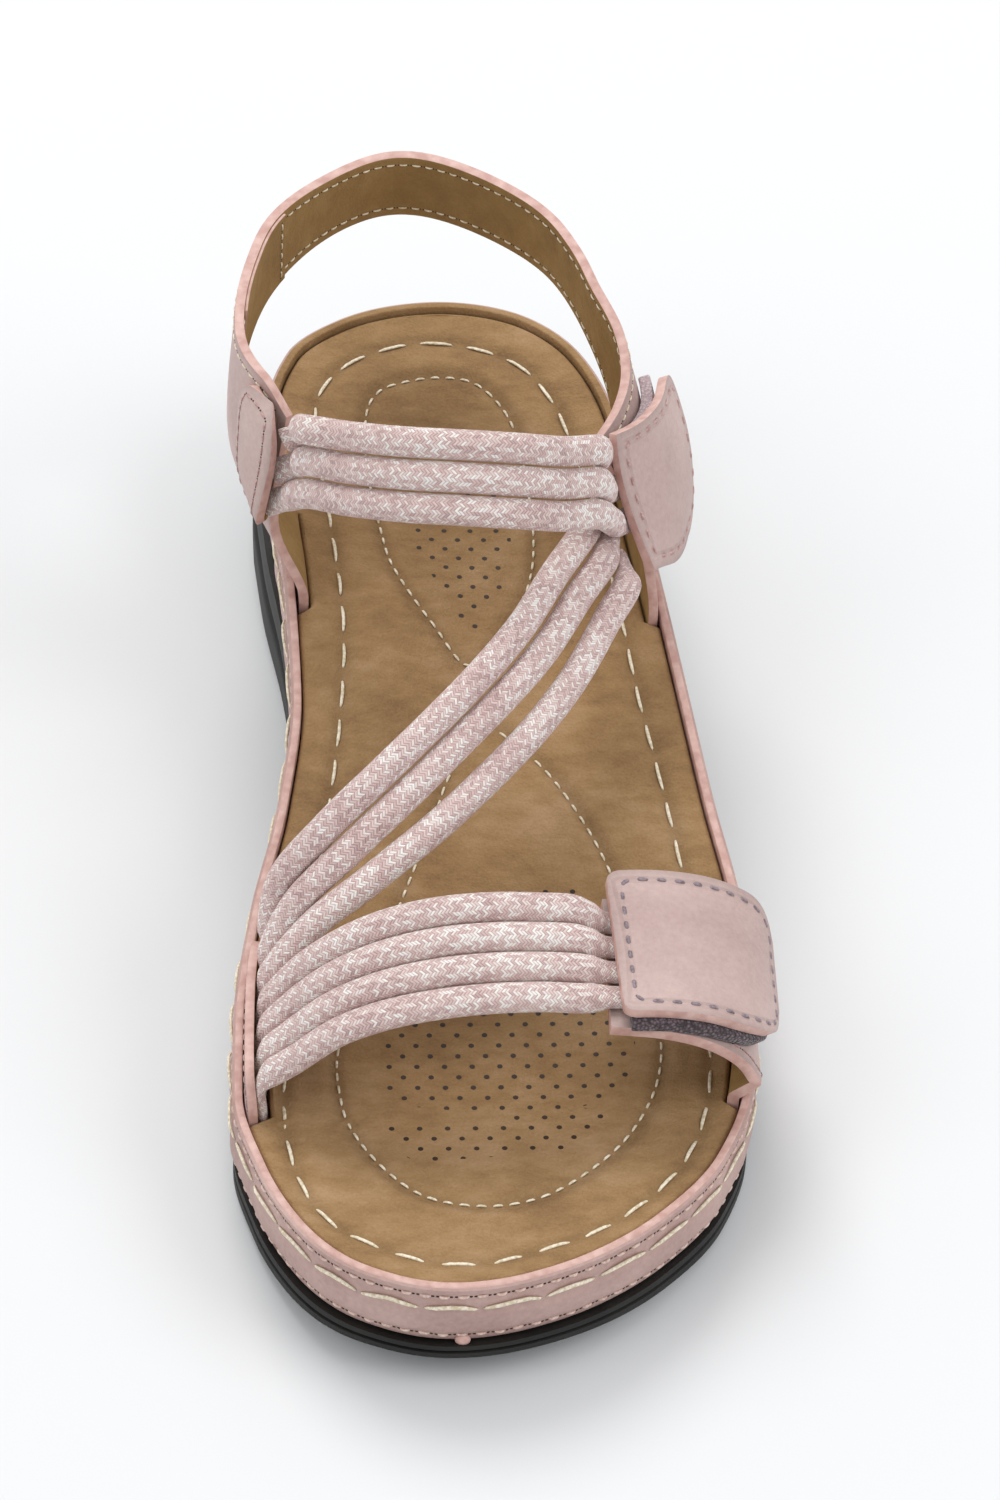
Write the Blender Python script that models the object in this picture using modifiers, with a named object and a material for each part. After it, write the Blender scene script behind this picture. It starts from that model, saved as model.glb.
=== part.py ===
"""Women's sandal with elastic cross straps, left foot, built from its separate pieces.

Units are metres and +Z is up. The toe points along -Y and the outer (lateral) side of the foot is at
+X. The origin lies on the floor under the centre of the heel seat. Every table row holds lengths as
shares of the named sizes at the top: "along" is a share of FOOTBED_LENGTH from the back of the heel,
"across" is a share of BALL_WIDTH from the heel's centre line, and "rise" is a share of UPPER_HEIGHT
above the rim of the footbed.
"""

import math

import bmesh
import bpy
import numpy as np
from mathutils import Vector

# Driving sizes of the last and of the sole
FOOTBED_LENGTH = 0.250
BALL_WIDTH = 0.098
UPPER_HEIGHT = 0.060
HEEL_SEAT_SETBACK = 0.035
HEEL_HEIGHT = 0.039
FOREFOOT_HEIGHT = 0.022
TOE_SPRING = 0.0074
TOE_RIM_LIFT = 0.0042
HEEL_OUTSOLE = 0.0245
FOREFOOT_OUTSOLE = 0.0060
TOE_OUTSOLE_LIFT = 0.0048
ARCH_RELIEF = 0.0022
HEEL_BEVEL = 0.0016

# Walls, layers and clearances
GAP = 0.0003
RAND_WALL = 0.0016
RAND_BULGE = 0.0008
RECESS_DEPTH = 0.0088
FOOTBED_STEP = 0.0012
FOOTBED_EDGE_ROUND = 0.0009
HEEL_CUP = 0.0042
FOREFOOT_DISH = 0.0014
ARCH_BUMP = 0.0030
UPPER_WALL = 0.0022
STRIP_WALL = 0.0018
TAB_WALL = 0.0019
TAPE_THICKNESS = 0.0024
SLOT_DEPTH = 0.0062
SLOT_END_ROOM = 0.0006
SLOT_END_RAMP = 0.0006
STRAP_LIFT = 0.0006

# Outsole side and tread
HEEL_FLARE = 0.0034
TOE_FLARE = 0.0015
SIDE_RIB_DEPTH = 0.0007
GROOVE_WIDTH = 0.0026
GROOVE_DEPTH = 0.0017
GROOVE_PITCH = 0.0125
TREAD_SPANS = ((0.105, 0.275), (0.565, 0.800))
TREAD_HALF_REACH = 0.36
TREAD_GROOVE_CENTRE = 0.56
TREAD_GROOVE_LENGTH = 0.92
TREAD_GROOVE_SWEEP = 0.30
HEEL_FLARE_SPAN = (0.16, 0.36)
TOE_FLARE_SPAN = (0.78, 0.96)

# Elastic cords
CORD_WIDTH = 0.0059
CORD_THICKNESS = 0.0048
CORD_END_WIDTH = 0.0052
CORD_END_THICKNESS = 0.0022
CORD_FLATTENING = 0.0060
CORD_PITCH = CORD_WIDTH + GAP
CORD_END_PITCH = CORD_END_WIDTH + 2.0 * GAP
TAB_TUCK = 0.0045
PATCH_TUCK = 0.0050
PATCH_STANDOFF = 0.0016
EDGE_CLEARANCE = 0.0012
END_SPREAD = 1.10
CORD_SIDES = 10
INSTEP_CORDS = 3
DIAGONAL_CORDS = 3
TOE_CORDS = 4
SEAM_REAR = 0.658
SEAM_DEPTH = 0.0100
SEAM_TUCK = 0.0042

# Fineness of the surfaces
OUTLINE_STEPS = 26
FOOTBED_COLUMNS = 8
HEEL_STRAP_COLUMNS = 46
HEEL_STRAP_ROWS = 7
CORD_RINGS = 15
TURN_STEP = 0.004
PATH_STEP = 0.0005

# Plan of the rim's outer edge. Columns: along, medial half width, lateral half width
PLAN = (
    (0.000, 0.000, 0.000),
    (0.020, 0.205, 0.188),
    (0.060, 0.318, 0.285),
    (0.120, 0.359, 0.345),
    (0.220, 0.354, 0.388),
    (0.320, 0.333, 0.425),
    (0.420, 0.325, 0.461),
    (0.520, 0.356, 0.498),
    (0.620, 0.414, 0.539),
    (0.720, 0.450, 0.551),
    (0.800, 0.455, 0.531),
    (0.870, 0.415, 0.466),
    (0.930, 0.347, 0.342),
    (0.970, 0.262, 0.206),
    (0.990, 0.172, 0.092),
    (1.000, 0.050, -0.050),
)

# Side profile. Columns: along, share of the heel's extra height, share of the toe spring,
# share of the arch relief, share of the heel bevel
SIDE = (
    (0.000, 1.00, 0.00, 0.00, 1.00),
    (0.050, 0.99, 0.00, 0.00, 0.00),
    (0.120, 0.97, 0.00, 0.00, 0.00),
    (0.250, 0.86, 0.00, 0.00, 0.00),
    (0.330, 0.73, 0.00, 0.40, 0.00),
    (0.420, 0.54, 0.00, 1.00, 0.00),
    (0.520, 0.30, 0.00, 0.50, 0.00),
    (0.600, 0.13, 0.00, 0.00, 0.00),
    (0.700, 0.00, 0.00, 0.00, 0.00),
    (0.780, 0.00, 0.00, 0.00, 0.00),
    (0.850, 0.00, 0.16, 0.00, 0.00),
    (0.920, 0.00, 0.46, 0.00, 0.00),
    (1.000, 0.00, 1.00, 0.00, 0.00),
)

# Side wall of the outsole. Columns: share of its height, outset as a share of the flare,
# inset as a share of the side rib's depth
OUTSOLE_SIDE = (
    (0.00, 0.20, 1.00),
    (0.12, 1.00, 0.00),
    (0.50, 1.00, 0.00),
    (0.56, 0.86, 1.00),
    (0.64, 0.82, 1.00),
    (0.70, 0.90, 0.00),
    (1.00, 0.78, 0.00),
)

# Rand around the midsole. Columns: share of its height, outset as a share of the rand's bulge,
# inset as a share of the rand's wall
RAND_SIDE = (
    (0.00, 0.0, 0.25),
    (0.16, 0.6, 0.00),
    (0.45, 1.0, 0.00),
    (0.78, 0.5, 0.00),
)

# Rolled top of the rand. Columns: drop below the rim and inset, as shares of the rand's wall
RAND_TOP = (
    (0.25, 0.00),
    (0.00, 0.28),
    (0.00, 0.80),
    (0.25, 1.00),
)

# Hollows and bump of the footbed. Columns: along of the middle, reach along
HEEL_BOWL = (0.13, 0.16)
FORE_BOWL = (0.76, 0.22)
ARCH_PLACE = (0.40, 0.13)
ARCH_SIDE = (-0.62, 0.42)
BOWL_ROUNDNESS = 2.6
BOWL_END_RISE = 6.5

# Wall around the heel and ankle, from the lateral front past the back of the heel to the medial
# front. Columns: side of the foot of the wall, its along, then across, along and rise of the middle,
# then across, along and rise of the top. The first and last rows lie ahead of the leather's edges.
LATERAL = 1
MEDIAL = -1
ANKLE_WALL = (
    (LATERAL, 0.385, 0.362, 0.372, 0.270, 0.215, 0.344, 0.610),
    (LATERAL, 0.348, 0.384, 0.338, 0.240, 0.275, 0.312, 0.640),
    (LATERAL, 0.312, 0.392, 0.302, 0.255, 0.320, 0.282, 0.655),
    (LATERAL, 0.272, 0.392, 0.260, 0.290, 0.342, 0.246, 0.660),
    (LATERAL, 0.228, 0.370, 0.216, 0.330, 0.330, 0.210, 0.700),
    (LATERAL, 0.180, 0.320, 0.174, 0.370, 0.286, 0.172, 0.745),
    (LATERAL, 0.128, 0.264, 0.124, 0.380, 0.248, 0.134, 0.770),
    (LATERAL, 0.068, 0.180, 0.070, 0.380, 0.164, 0.080, 0.775),
    (LATERAL, 0.004, -0.056, 0.013, 0.380, -0.066, 0.023, 0.772),
    (MEDIAL, 0.060, -0.240, 0.042, 0.380, -0.232, 0.053, 0.776),
    (MEDIAL, 0.120, -0.350, 0.102, 0.390, -0.350, 0.102, 0.795),
    (MEDIAL, 0.168, -0.412, 0.150, 0.385, -0.398, 0.152, 0.800),
    (MEDIAL, 0.216, -0.440, 0.204, 0.370, -0.424, 0.204, 0.810),
    (MEDIAL, 0.260, -0.436, 0.246, 0.345, -0.424, 0.246, 0.815),
    (MEDIAL, 0.296, -0.418, 0.278, 0.325, -0.392, 0.276, 0.810),
    (MEDIAL, 0.330, -0.392, 0.306, 0.310, -0.326, 0.304, 0.790),
    (MEDIAL, 0.368, -0.366, 0.340, 0.290, -0.240, 0.330, 0.760),
)

# Shares of the wall's height where its slot floor, rim, middle and top lie
WALL_LEVELS = (0.00, 0.16, 0.52, 1.00)

# Height of the heel strap's edges on that wall. Columns: position along the wall in rows of the
# table above, lower edge and upper edge as shares of the wall's height
STRAP_EDGES = (
    (1.00, 0.00, 1.00),
    (4.20, 0.00, 1.00),
    (4.40, 0.22, 1.00),
    (4.75, 0.42, 1.00),
    (5.30, 0.545, 1.00),
    (6.20, 0.62, 1.00),
    (8.00, 0.64, 1.00),
    (10.00, 0.64, 1.00),
    (11.20, 0.59, 1.00),
    (12.05, 0.42, 1.00),
    (12.40, 0.22, 1.00),
    (12.60, 0.00, 1.00),
    (15.00, 0.00, 1.00),
)

# Where the quarters go down into their slots: rear and front positions along the wall
LATERAL_SLOT = (4.40, 1.00)
MEDIAL_SLOT = (12.40, 15.00)

# Corners of the lateral ankle tab and of the medial patch on that wall: row position and share of
# the wall's height, front top, rear top, rear bottom and front bottom
ANKLE_TAB_CORNERS = ((1.05, 1.03), (3.85, 0.82), (2.85, 0.38), (-0.22, 0.58))
ANKLE_TAB_FLARE = 0.0045
ANKLE_TAB_TOP_FLARE = 0.0015
ANKLE_TAPE_SPAN = (0.30, 0.97)
ANKLE_PATCH_CORNERS = ((15.15, 0.97), (14.20, 0.98), (14.25, 0.48), (15.20, 0.48))
INSTEP_END_LEVEL = 0.79
INSTEP_TAB_SHARE = 0.37
DIAGONAL_TAB_SHARES = (0.42, 0.63, 0.86)

# Middle line of the instep band, lateral end first. Columns: across, along, rise, slope of the
# band's width below the horizontal in degrees
INSTEP_LINE = (
    (0.268, 0.371, 0.725, 50.0),
    (0.209, 0.389, 0.800, 50.0),
    (0.104, 0.414, 0.930, 50.0),
    (-0.001, 0.421, 0.978, 50.0),
    (-0.104, 0.412, 0.950, 50.0),
    (-0.218, 0.380, 0.830, 50.0),
    (-0.304, 0.342, 0.701, 54.0),
)

# Line of the rear diagonal cord, lateral end first. Columns: across, along, rise, slope of the
# band's width, and the steps from the rear to the middle and to the front cord in cord pitches
DIAGONAL_LINE = (
    (0.248, 0.372, 0.500, 14.0, 1.00, 1.00),
    (0.192, 0.415, 0.544, 16.0, 1.05, 1.18),
    (0.104, 0.486, 0.609, 22.0, 1.06, 1.34),
    (0.029, 0.531, 0.638, 30.0, 1.02, 1.42),
    (-0.061, 0.573, 0.638, 36.0, 1.00, 1.42),
    (-0.153, 0.609, 0.608, 40.0, 1.00, 1.32),
    (-0.277, 0.643, 0.492, 42.0, 1.00, 1.12),
    (-0.366, 0.656, 0.300, 30.0, 1.00, 1.00),
)

# Middle line of the toe band, lateral end first. Columns as for the instep band
TOE_LINE = (
    (0.185, 0.756, 0.440, 14.0),
    (0.143, 0.758, 0.455, 14.0),
    (0.039, 0.763, 0.480, 16.0),
    (-0.089, 0.767, 0.468, 16.0),
    (-0.169, 0.770, 0.438, 14.0),
    (-0.260, 0.771, 0.357, 10.0),
    (-0.345, 0.771, 0.215, 6.0),
)
TOE_END_ALONG = 0.750

# Wall of the lateral toe quarter, from the slot up over the toes. Columns: across, rise
TOE_WALL = (
    (0.535, 0.085),
    (0.500, 0.185),
    (0.435, 0.268),
    (0.350, 0.318),
    (0.250, 0.340),
)
TOE_QUARTER_SPAN = (0.684, 0.812)
TOE_TAB_SPAN = (0.672, 0.814)
TOE_TAPE_SPAN = (0.682, 0.822)
TOE_TAB_SKEW = 0.018
TOE_TAB_REACH = (1.00, 0.36)
TOE_TAPE_REACH = (0.80, 0.42)
TOE_STRIP_SPAN = (0.655, 0.826)
TOE_STRIP_RISE = 0.125

# Colours as linear RGB, with roughness
LEATHER = (0.520, 0.352, 0.337, 1.0)
ELASTIC = (0.640, 0.470, 0.470, 1.0)
SUEDE = (0.390, 0.250, 0.130, 1.0)
RUBBER = (0.016, 0.016, 0.013, 1.0)
TAPE = (0.150, 0.102, 0.115, 1.0)


def clear_scene():
    for old in list(bpy.data.objects):
        bpy.data.objects.remove(old, do_unlink=True)


def make_collection(name):
    collection = bpy.data.collections.new(name)
    bpy.context.scene.collection.children.link(collection)
    return collection


def make_material(name, colour, roughness):
    material = bpy.data.materials.new(name)
    material.use_nodes = True
    shader = material.node_tree.nodes["Principled BSDF"]
    shader.inputs["Base Color"].default_value = colour
    shader.inputs["Roughness"].default_value = roughness
    shader.inputs["Metallic"].default_value = 0.0
    return material


def curve_through(knots, values, monotone):
    """Curve through the rows of a table. A monotone one never swings past its rows."""
    knots = np.array(knots, float)
    values = np.array(values, float).reshape(len(knots), -1)
    steps = np.diff(knots)[:, None]
    slopes = np.diff(values, axis=0) / steps
    tangents = np.vstack((slopes[:1], np.zeros_like(slopes[1:]), slopes[-1:]))
    before, after = slopes[:-1], slopes[1:]
    if monotone:
        same = before * after > 0
        safe_before = np.where(same, before, 1.0)
        safe_after = np.where(same, after, 1.0)
        first = 2.0 * steps[1:] + steps[:-1]
        second = steps[1:] + 2.0 * steps[:-1]
        blend = (first + second) / (first / safe_before + second / safe_after)
        tangents[1:-1] = np.where(same, blend, 0.0)
    else:
        tangents[1:-1] = (before * steps[1:] + after * steps[:-1]) / (steps[1:] + steps[:-1])

    def value(position):
        row = int(np.clip(np.searchsorted(knots, position) - 1, 0, len(knots) - 2))
        width = steps[row, 0]
        t = (position - knots[row]) / width
        near = 1.0 + 2.0 * t
        start = near * (1.0 - t) ** 2 * values[row] + t * (1.0 - t) ** 2 * width * tangents[row]
        end = t * t * (3.0 - 2.0 * t) * values[row + 1] + t * t * (t - 1.0) * width * tangents[row + 1]
        if t < 0.0:
            return values[row] + tangents[row] * width * t
        if t > 1.0:
            return values[row + 1] + tangents[row + 1] * width * (t - 1.0)
        return start + end

    return value


def turn_at(along):
    """Angle whose cosine runs from the heel to the toe, so that both ends come out round."""
    return math.acos(max(-1.0, min(1.0, 1.0 - 2.0 * along)))


plan_width = curve_through([turn_at(row[0]) for row in PLAN], [row[1:] for row in PLAN], True)
side_share = curve_through([row[0] for row in SIDE], [row[1:] for row in SIDE], True)


def along_to_y(along):
    return HEEL_SEAT_SETBACK - along * FOOTBED_LENGTH


def rim_height(along):
    heel, toe, _, _ = side_share(along)
    return FOREFOOT_HEIGHT + (HEEL_HEIGHT - FOREFOOT_HEIGHT) * heel + TOE_RIM_LIFT * toe


def split_height(along):
    """Height of the joint between outsole and midsole."""
    heel, toe, _, _ = side_share(along)
    return FOREFOOT_OUTSOLE + (HEEL_OUTSOLE - FOREFOOT_OUTSOLE) * heel + TOE_OUTSOLE_LIFT * toe


def ground_height(along):
    _, toe, arch, bevel = side_share(along)
    return TOE_SPRING * toe + ARCH_RELIEF * arch + HEEL_BEVEL * bevel


def space(across, along, rise):
    """Point of the upper, from shares of the last's sizes."""
    height = rim_height(along) + rise * UPPER_HEIGHT
    return Vector((across * BALL_WIDTH, along_to_y(along), height))


def rim_point(turn, side):
    medial, lateral = plan_width(turn)
    along = (1.0 - math.cos(turn)) / 2.0
    across = lateral if side == LATERAL else -medial
    return Vector((across * BALL_WIDTH, along_to_y(along), 0.0))


def inset_point(turn, side, inset):
    """Point of the rim's plan, moved inwards along the plan's normal."""
    step = TURN_STEP
    tangent = rim_point(min(turn + step, math.pi), side) - rim_point(max(turn - step, 0.0), side)
    if turn <= 0.0 or turn >= math.pi:
        tangent = Vector((tangent.x, 0.0, 0.0))
    tangent.normalize()
    outward = Vector((-tangent.y, tangent.x, 0.0)) * side
    return rim_point(turn, side) - outward * inset


def slot_edges():
    """Along positions of both ends of every slot that a strap enters."""
    return {
        LATERAL: (
            (foot_along(LATERAL_SLOT[0]), foot_along(LATERAL_SLOT[1]), UPPER_WALL),
            (TOE_QUARTER_SPAN[0], TOE_QUARTER_SPAN[1], UPPER_WALL),
        ),
        MEDIAL: (
            (foot_along(MEDIAL_SLOT[0]), foot_along(MEDIAL_SLOT[1]), UPPER_WALL),
            (TOE_STRIP_SPAN[0], TOE_STRIP_SPAN[1], STRIP_WALL + GAP + CORD_END_THICKNESS),
        ),
    }


foot_of_wall = curve_through(range(len(ANKLE_WALL)), [row[0] * row[1] for row in ANKLE_WALL], False)


def foot_along(position):
    return abs(float(foot_of_wall(position)[0]))


def outline_turns():
    """Stations around the sole, with a pair at each end of every slot."""
    pairs = []
    for slots in slot_edges().values():
        for rear, front, _ in slots:
            for edge, way in ((rear, -1.0), (front, 1.0)):
                near = edge + way * SLOT_END_ROOM / FOOTBED_LENGTH
                far = near + way * SLOT_END_RAMP / FOOTBED_LENGTH
                pairs.extend((turn_at(near), turn_at(far)))
    even = [math.pi * step / OUTLINE_STEPS for step in range(1, OUTLINE_STEPS)]
    clear = 0.4 * math.pi / OUTLINE_STEPS
    kept = [turn for turn in even if min(abs(turn - other) for other in pairs) > clear]
    return sorted(kept + pairs)


def slot_inset(turn, side):
    """Extra room beside the footbed where a strap goes down into the sole."""
    along = (1.0 - math.cos(turn)) / 2.0
    for rear, front, wall in slot_edges()[side]:
        room = 1.01 * SLOT_END_ROOM / FOOTBED_LENGTH
        if rear - room <= along <= front + room:
            return wall + 1.5 * GAP
    return 0.0


TURNS = outline_turns()


def outline_loop(inset_at, height_at):
    """Closed loop around the sole: heel, medial side, toe, lateral side."""
    stops = [(0.0, MEDIAL)] + [(turn, MEDIAL) for turn in TURNS]
    stops += [(math.pi, MEDIAL)] + [(turn, LATERAL) for turn in reversed(TURNS)]
    loop = []
    for turn, side in stops:
        along = (1.0 - math.cos(turn)) / 2.0
        point = inset_point(turn, side, inset_at(turn, side))
        loop.append(Vector((point.x, point.y, height_at(along))))
    return loop


def skin(mesh, lower, upper):
    """Band of faces between two closed loops of vertices."""
    count = len(lower)
    for index in range(count):
        following = (index + 1) % count
        mesh.faces.new((lower[index], lower[following], upper[following], upper[index]))


def cap(mesh, loop, columns, relief):
    """Closes a loop around the sole with rows that run from side to side."""
    count = len(loop)
    half = count // 2
    rows = []
    for index in range(1, half):
        left, right = loop[index], loop[count - index]
        row = [left]
        for column in range(1, columns):
            share = column / columns
            point = left.co.lerp(right.co, share)
            point.z += relief(point, 2.0 * share - 1.0)
            row.append(mesh.verts.new(point))
        row.append(right)
        rows.append(row)
    for near, far in zip(rows, rows[1:]):
        for column in range(columns):
            mesh.faces.new((near[column], near[column + 1], far[column + 1], far[column]))
    for tip, row in ((loop[0], rows[0]), (loop[half], rows[-1])):
        for column in range(columns):
            mesh.faces.new((tip, row[column], row[column + 1]))


def flat(_point, _side):
    return 0.0


def finish_mesh(name, mesh, material, collection, sharp_degrees=40.0):
    bmesh.ops.recalc_face_normals(mesh, faces=mesh.faces)
    data = bpy.data.meshes.new(name)
    mesh.to_mesh(data)
    mesh.free()
    data.shade_smooth()
    data.set_sharp_from_angle(angle=math.radians(sharp_degrees))
    data.materials.append(material)
    piece = bpy.data.objects.new(name, data)
    collection.objects.link(piece)
    return piece


def stack_loops(mesh, loops):
    rings = [[mesh.verts.new(point) for point in loop] for loop in loops]
    for lower, upper in zip(rings, rings[1:]):
        skin(mesh, lower, upper)
    return rings


def flare_at(turn):
    """Outset of the outsole beyond the rand: most at the heel, none at the waist."""
    along = (1.0 - math.cos(turn)) / 2.0
    full, none = HEEL_FLARE_SPAN
    heel = max(0.0, min(1.0, (none - along) / (none - full)))
    none, full = TOE_FLARE_SPAN
    toe = max(0.0, min(1.0, (along - none) / (full - none)))
    return HEEL_FLARE * heel + TOE_FLARE * toe


def make_outsole(material, collection):
    mesh = bmesh.new()
    loops = []
    for level, outset, inset in OUTSOLE_SIDE:

        def inset_at(turn, _side, outset=outset, inset=inset):
            return inset * SIDE_RIB_DEPTH - outset * flare_at(turn)

        def height_at(along, level=level):
            ground = ground_height(along)
            return ground + level * (split_height(along) - ground)

        loops.append(outline_loop(inset_at, height_at))
    rings = stack_loops(mesh, loops)
    cap(mesh, rings[0], 4, flat)
    cap(mesh, rings[-1], 2, flat)
    return finish_mesh("outsole", mesh, material, collection)


def cut_tread(outsole, guides):
    """Grooves across the bottom leave lugs, with a plain pad under heel and ball for flat rest."""
    tread = bpy.data.meshes.new("tread_cutter")
    mesh = bmesh.new()
    for start, end in TREAD_SPANS:
        count = int((end - start) * FOOTBED_LENGTH / GROOVE_PITCH)
        for number in range(count):
            along = start + (number + 0.5) * GROOVE_PITCH / FOOTBED_LENGTH
            medial, lateral = plan_width(turn_at(along))
            middle = (lateral - medial) * 0.5 * BALL_WIDTH
            reach = (lateral + medial) * TREAD_HALF_REACH * BALL_WIDTH
            for side in (MEDIAL, LATERAL):
                box = bmesh.ops.create_cube(mesh, size=1.0)["verts"]
                centre_x = middle + side * reach * TREAD_GROOVE_CENTRE
                for corner in box:
                    sweep = TREAD_GROOVE_SWEEP * corner.co.x * reach * side
                    corner.co = Vector(
                        (
                            centre_x + corner.co.x * reach * TREAD_GROOVE_LENGTH,
                            along_to_y(along) + corner.co.y * GROOVE_WIDTH - sweep,
                            corner.co.z * 2.0 * GROOVE_DEPTH,
                        )
                    )
    mesh.to_mesh(tread)
    mesh.free()
    cutter = bpy.data.objects.new("tread_cutter", tread)
    guides.objects.link(cutter)
    cutter.hide_render = True
    cutter.display_type = "WIRE"
    cut = outsole.modifiers.new("tread", "BOOLEAN")
    cut.operation = "DIFFERENCE"
    cut.solver = "EXACT"
    cut.object = cutter


def make_midsole(material, collection):
    """Wrapped midsole: a rounded rand around a recess for the footbed."""

    def lowest(along):
        return split_height(along) + GAP

    def side_height(share):
        return lambda along: lowest(along) + share * (rim_height(along) - lowest(along))

    def top_height(drop):
        return lambda along: rim_height(along) - drop

    def even(inset):
        return lambda _turn, _side: inset

    loops = [
        outline_loop(even(inset * RAND_WALL - outset * RAND_BULGE), side_height(share))
        for share, outset, inset in RAND_SIDE
    ]
    loops += [
        outline_loop(even(inset * RAND_WALL), top_height(drop * RAND_WALL))
        for drop, inset in RAND_TOP
    ]
    loops.append(outline_loop(even(RAND_WALL), top_height(RECESS_DEPTH)))
    mesh = bmesh.new()
    rings = stack_loops(mesh, loops)
    cap(mesh, rings[0], 2, flat)
    cap(mesh, rings[-1], 2, flat)
    return finish_mesh("midsole", mesh, material, collection)


def hump(value, centre, reach):
    return math.exp(-(((value - centre) / reach) ** 2))


def footbed_relief(point, side):
    """Heel cup, arch and shallow forefoot of the footbed, below or above its edge."""
    along = (HEEL_SEAT_SETBACK - point.y) / FOOTBED_LENGTH
    bowl = 1.0 - abs(side) ** BOWL_ROUNDNESS
    ends = min(1.0, BOWL_END_RISE * along, BOWL_END_RISE * (1.0 - along))
    hollow = HEEL_CUP * hump(along, *HEEL_BOWL) + FOREFOOT_DISH * hump(along, *FORE_BOWL)
    arch = ARCH_BUMP * hump(along, *ARCH_PLACE) * hump(side, *ARCH_SIDE)
    return (arch - hollow * ends) * bowl


def make_footbed(material, collection):
    base = RAND_WALL + GAP

    def inset_by(extra):
        return lambda turn, side: base + extra + slot_inset(turn, side)

    def bottom(along):
        return rim_height(along) - RECESS_DEPTH + GAP

    def edge(drop):
        return lambda along: rim_height(along) - FOOTBED_STEP - drop

    loops = (
        outline_loop(inset_by(0.0), bottom),
        outline_loop(inset_by(0.0), edge(FOOTBED_EDGE_ROUND)),
        outline_loop(inset_by(FOOTBED_EDGE_ROUND), edge(0.0)),
    )
    mesh = bmesh.new()
    rings = stack_loops(mesh, loops)
    cap(mesh, rings[0], 2, flat)
    cap(mesh, rings[-1], FOOTBED_COLUMNS, footbed_relief)
    return finish_mesh("footbed", mesh, material, collection)


WALL_FOOT_INSET = RAND_WALL + 1.5 * GAP + 0.5 * UPPER_WALL


def wall_rows():
    rows = []
    for side, foot, mid_across, mid_along, mid_rise, top_across, top_along, top_rise in ANKLE_WALL:
        base = inset_point(turn_at(foot), side, WALL_FOOT_INSET)
        rim = rim_height(foot)
        sunk = Vector((base.x, base.y, rim - SLOT_DEPTH))
        level = Vector((base.x, base.y, rim + STRAP_LIFT))
        middle = space(mid_across, mid_along, mid_rise)
        top = space(top_across, top_along, top_rise)
        rows.append([*sunk, *level, *middle, *top])
    return rows


wall_section = curve_through(range(len(ANKLE_WALL)), wall_rows(), False)


def ankle_wall(position, level):
    """Middle surface of the wall around heel and ankle."""
    section = wall_section(position)
    if level <= WALL_LEVELS[1]:
        side = LATERAL if foot_of_wall(position)[0] > 0.0 else MEDIAL
        base = inset_point(turn_at(foot_along(position)), side, WALL_FOOT_INSET)
        share = level / WALL_LEVELS[1]
        rim = rim_height(foot_along(position))
        height = rim - SLOT_DEPTH + share * (SLOT_DEPTH + STRAP_LIFT)
        return Vector((base.x, base.y, height))
    upright = curve_through(WALL_LEVELS, section.reshape(4, 3), True)
    return Vector(upright(level))


def surface_normal(surface, u, v, step_u=0.02, step_v=0.01):
    ahead = surface(u + step_u, v) - surface(u - step_u, v)
    above = surface(u, v + step_v) - surface(u, v - step_v)
    return ahead.cross(above).normalized()


def sheet(name, grid, thickness, material, collection):
    """Leather or tape: a grid of points on its middle surface, given its thickness."""
    mesh = bmesh.new()
    rows = [[mesh.verts.new(point) for point in row] for row in grid]
    for near, far in zip(rows, rows[1:]):
        for column in range(len(near) - 1):
            mesh.faces.new((near[column], near[column + 1], far[column + 1], far[column]))
    data = bpy.data.meshes.new(name)
    mesh.to_mesh(data)
    mesh.free()
    data.shade_smooth()
    data.materials.append(material)
    piece = bpy.data.objects.new(name, data)
    collection.objects.link(piece)
    wall = piece.modifiers.new("wall", "SOLIDIFY")
    wall.thickness = thickness
    wall.offset = 0.0
    wall.use_even_offset = False
    return piece


def make_heel_strap(material, collection):
    """Sling strap and both ankle quarters, one wall cut from the surface around the heel."""
    edges = curve_through([row[0] for row in STRAP_EDGES], [row[1:] for row in STRAP_EDGES], True)
    first, last = STRAP_EDGES[0][0], STRAP_EDGES[-1][0]
    steps = HEEL_STRAP_COLUMNS - 1
    bends = [row[0] for row in STRAP_EDGES]
    even = [first + (last - first) * step / steps for step in range(HEEL_STRAP_COLUMNS)]
    apart = 0.4 * (last - first) / steps
    kept = [place for place in even if min(abs(place - bend) for bend in bends) > apart]
    grid = []
    for position in sorted(kept + bends):
        low, high = edges(position)
        line = []
        for row in range(HEEL_STRAP_ROWS):
            level = low + (high - low) * row / (HEEL_STRAP_ROWS - 1)
            line.append(ankle_wall(position, level))
        grid.append(line)
    return sheet("heel_strap", grid, UPPER_WALL, material, collection)


def round_end(share, start, blunt):
    """Half width of a tab along its length, with rounded corners at its free end."""
    if share <= start:
        return 1.0
    turn = (share - start) / (1.0 - start)
    return blunt + (1.0 - blunt) * math.sqrt(max(0.0, 1.0 - turn * turn))


def on_wall(corners, length_share, width_share):
    """Position and level on the ankle wall of a point in a four-cornered field."""
    near_top, far_top, far_low, near_low = [Vector(corner) for corner in corners]
    top = near_top.lerp(far_top, length_share)
    low = near_low.lerp(far_low, length_share)
    return top.lerp(low, width_share)


def lifted_wall(position, level, lift):
    outward = surface_normal(ankle_wall, position, level)
    heel_centre = Vector((0.0, along_to_y(0.2), 0.0))
    point = ankle_wall(position, level)
    away = point - heel_centre
    if outward.x * away.x + outward.y * away.y < 0.0:
        outward = -outward
    return point + outward * lift


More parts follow.
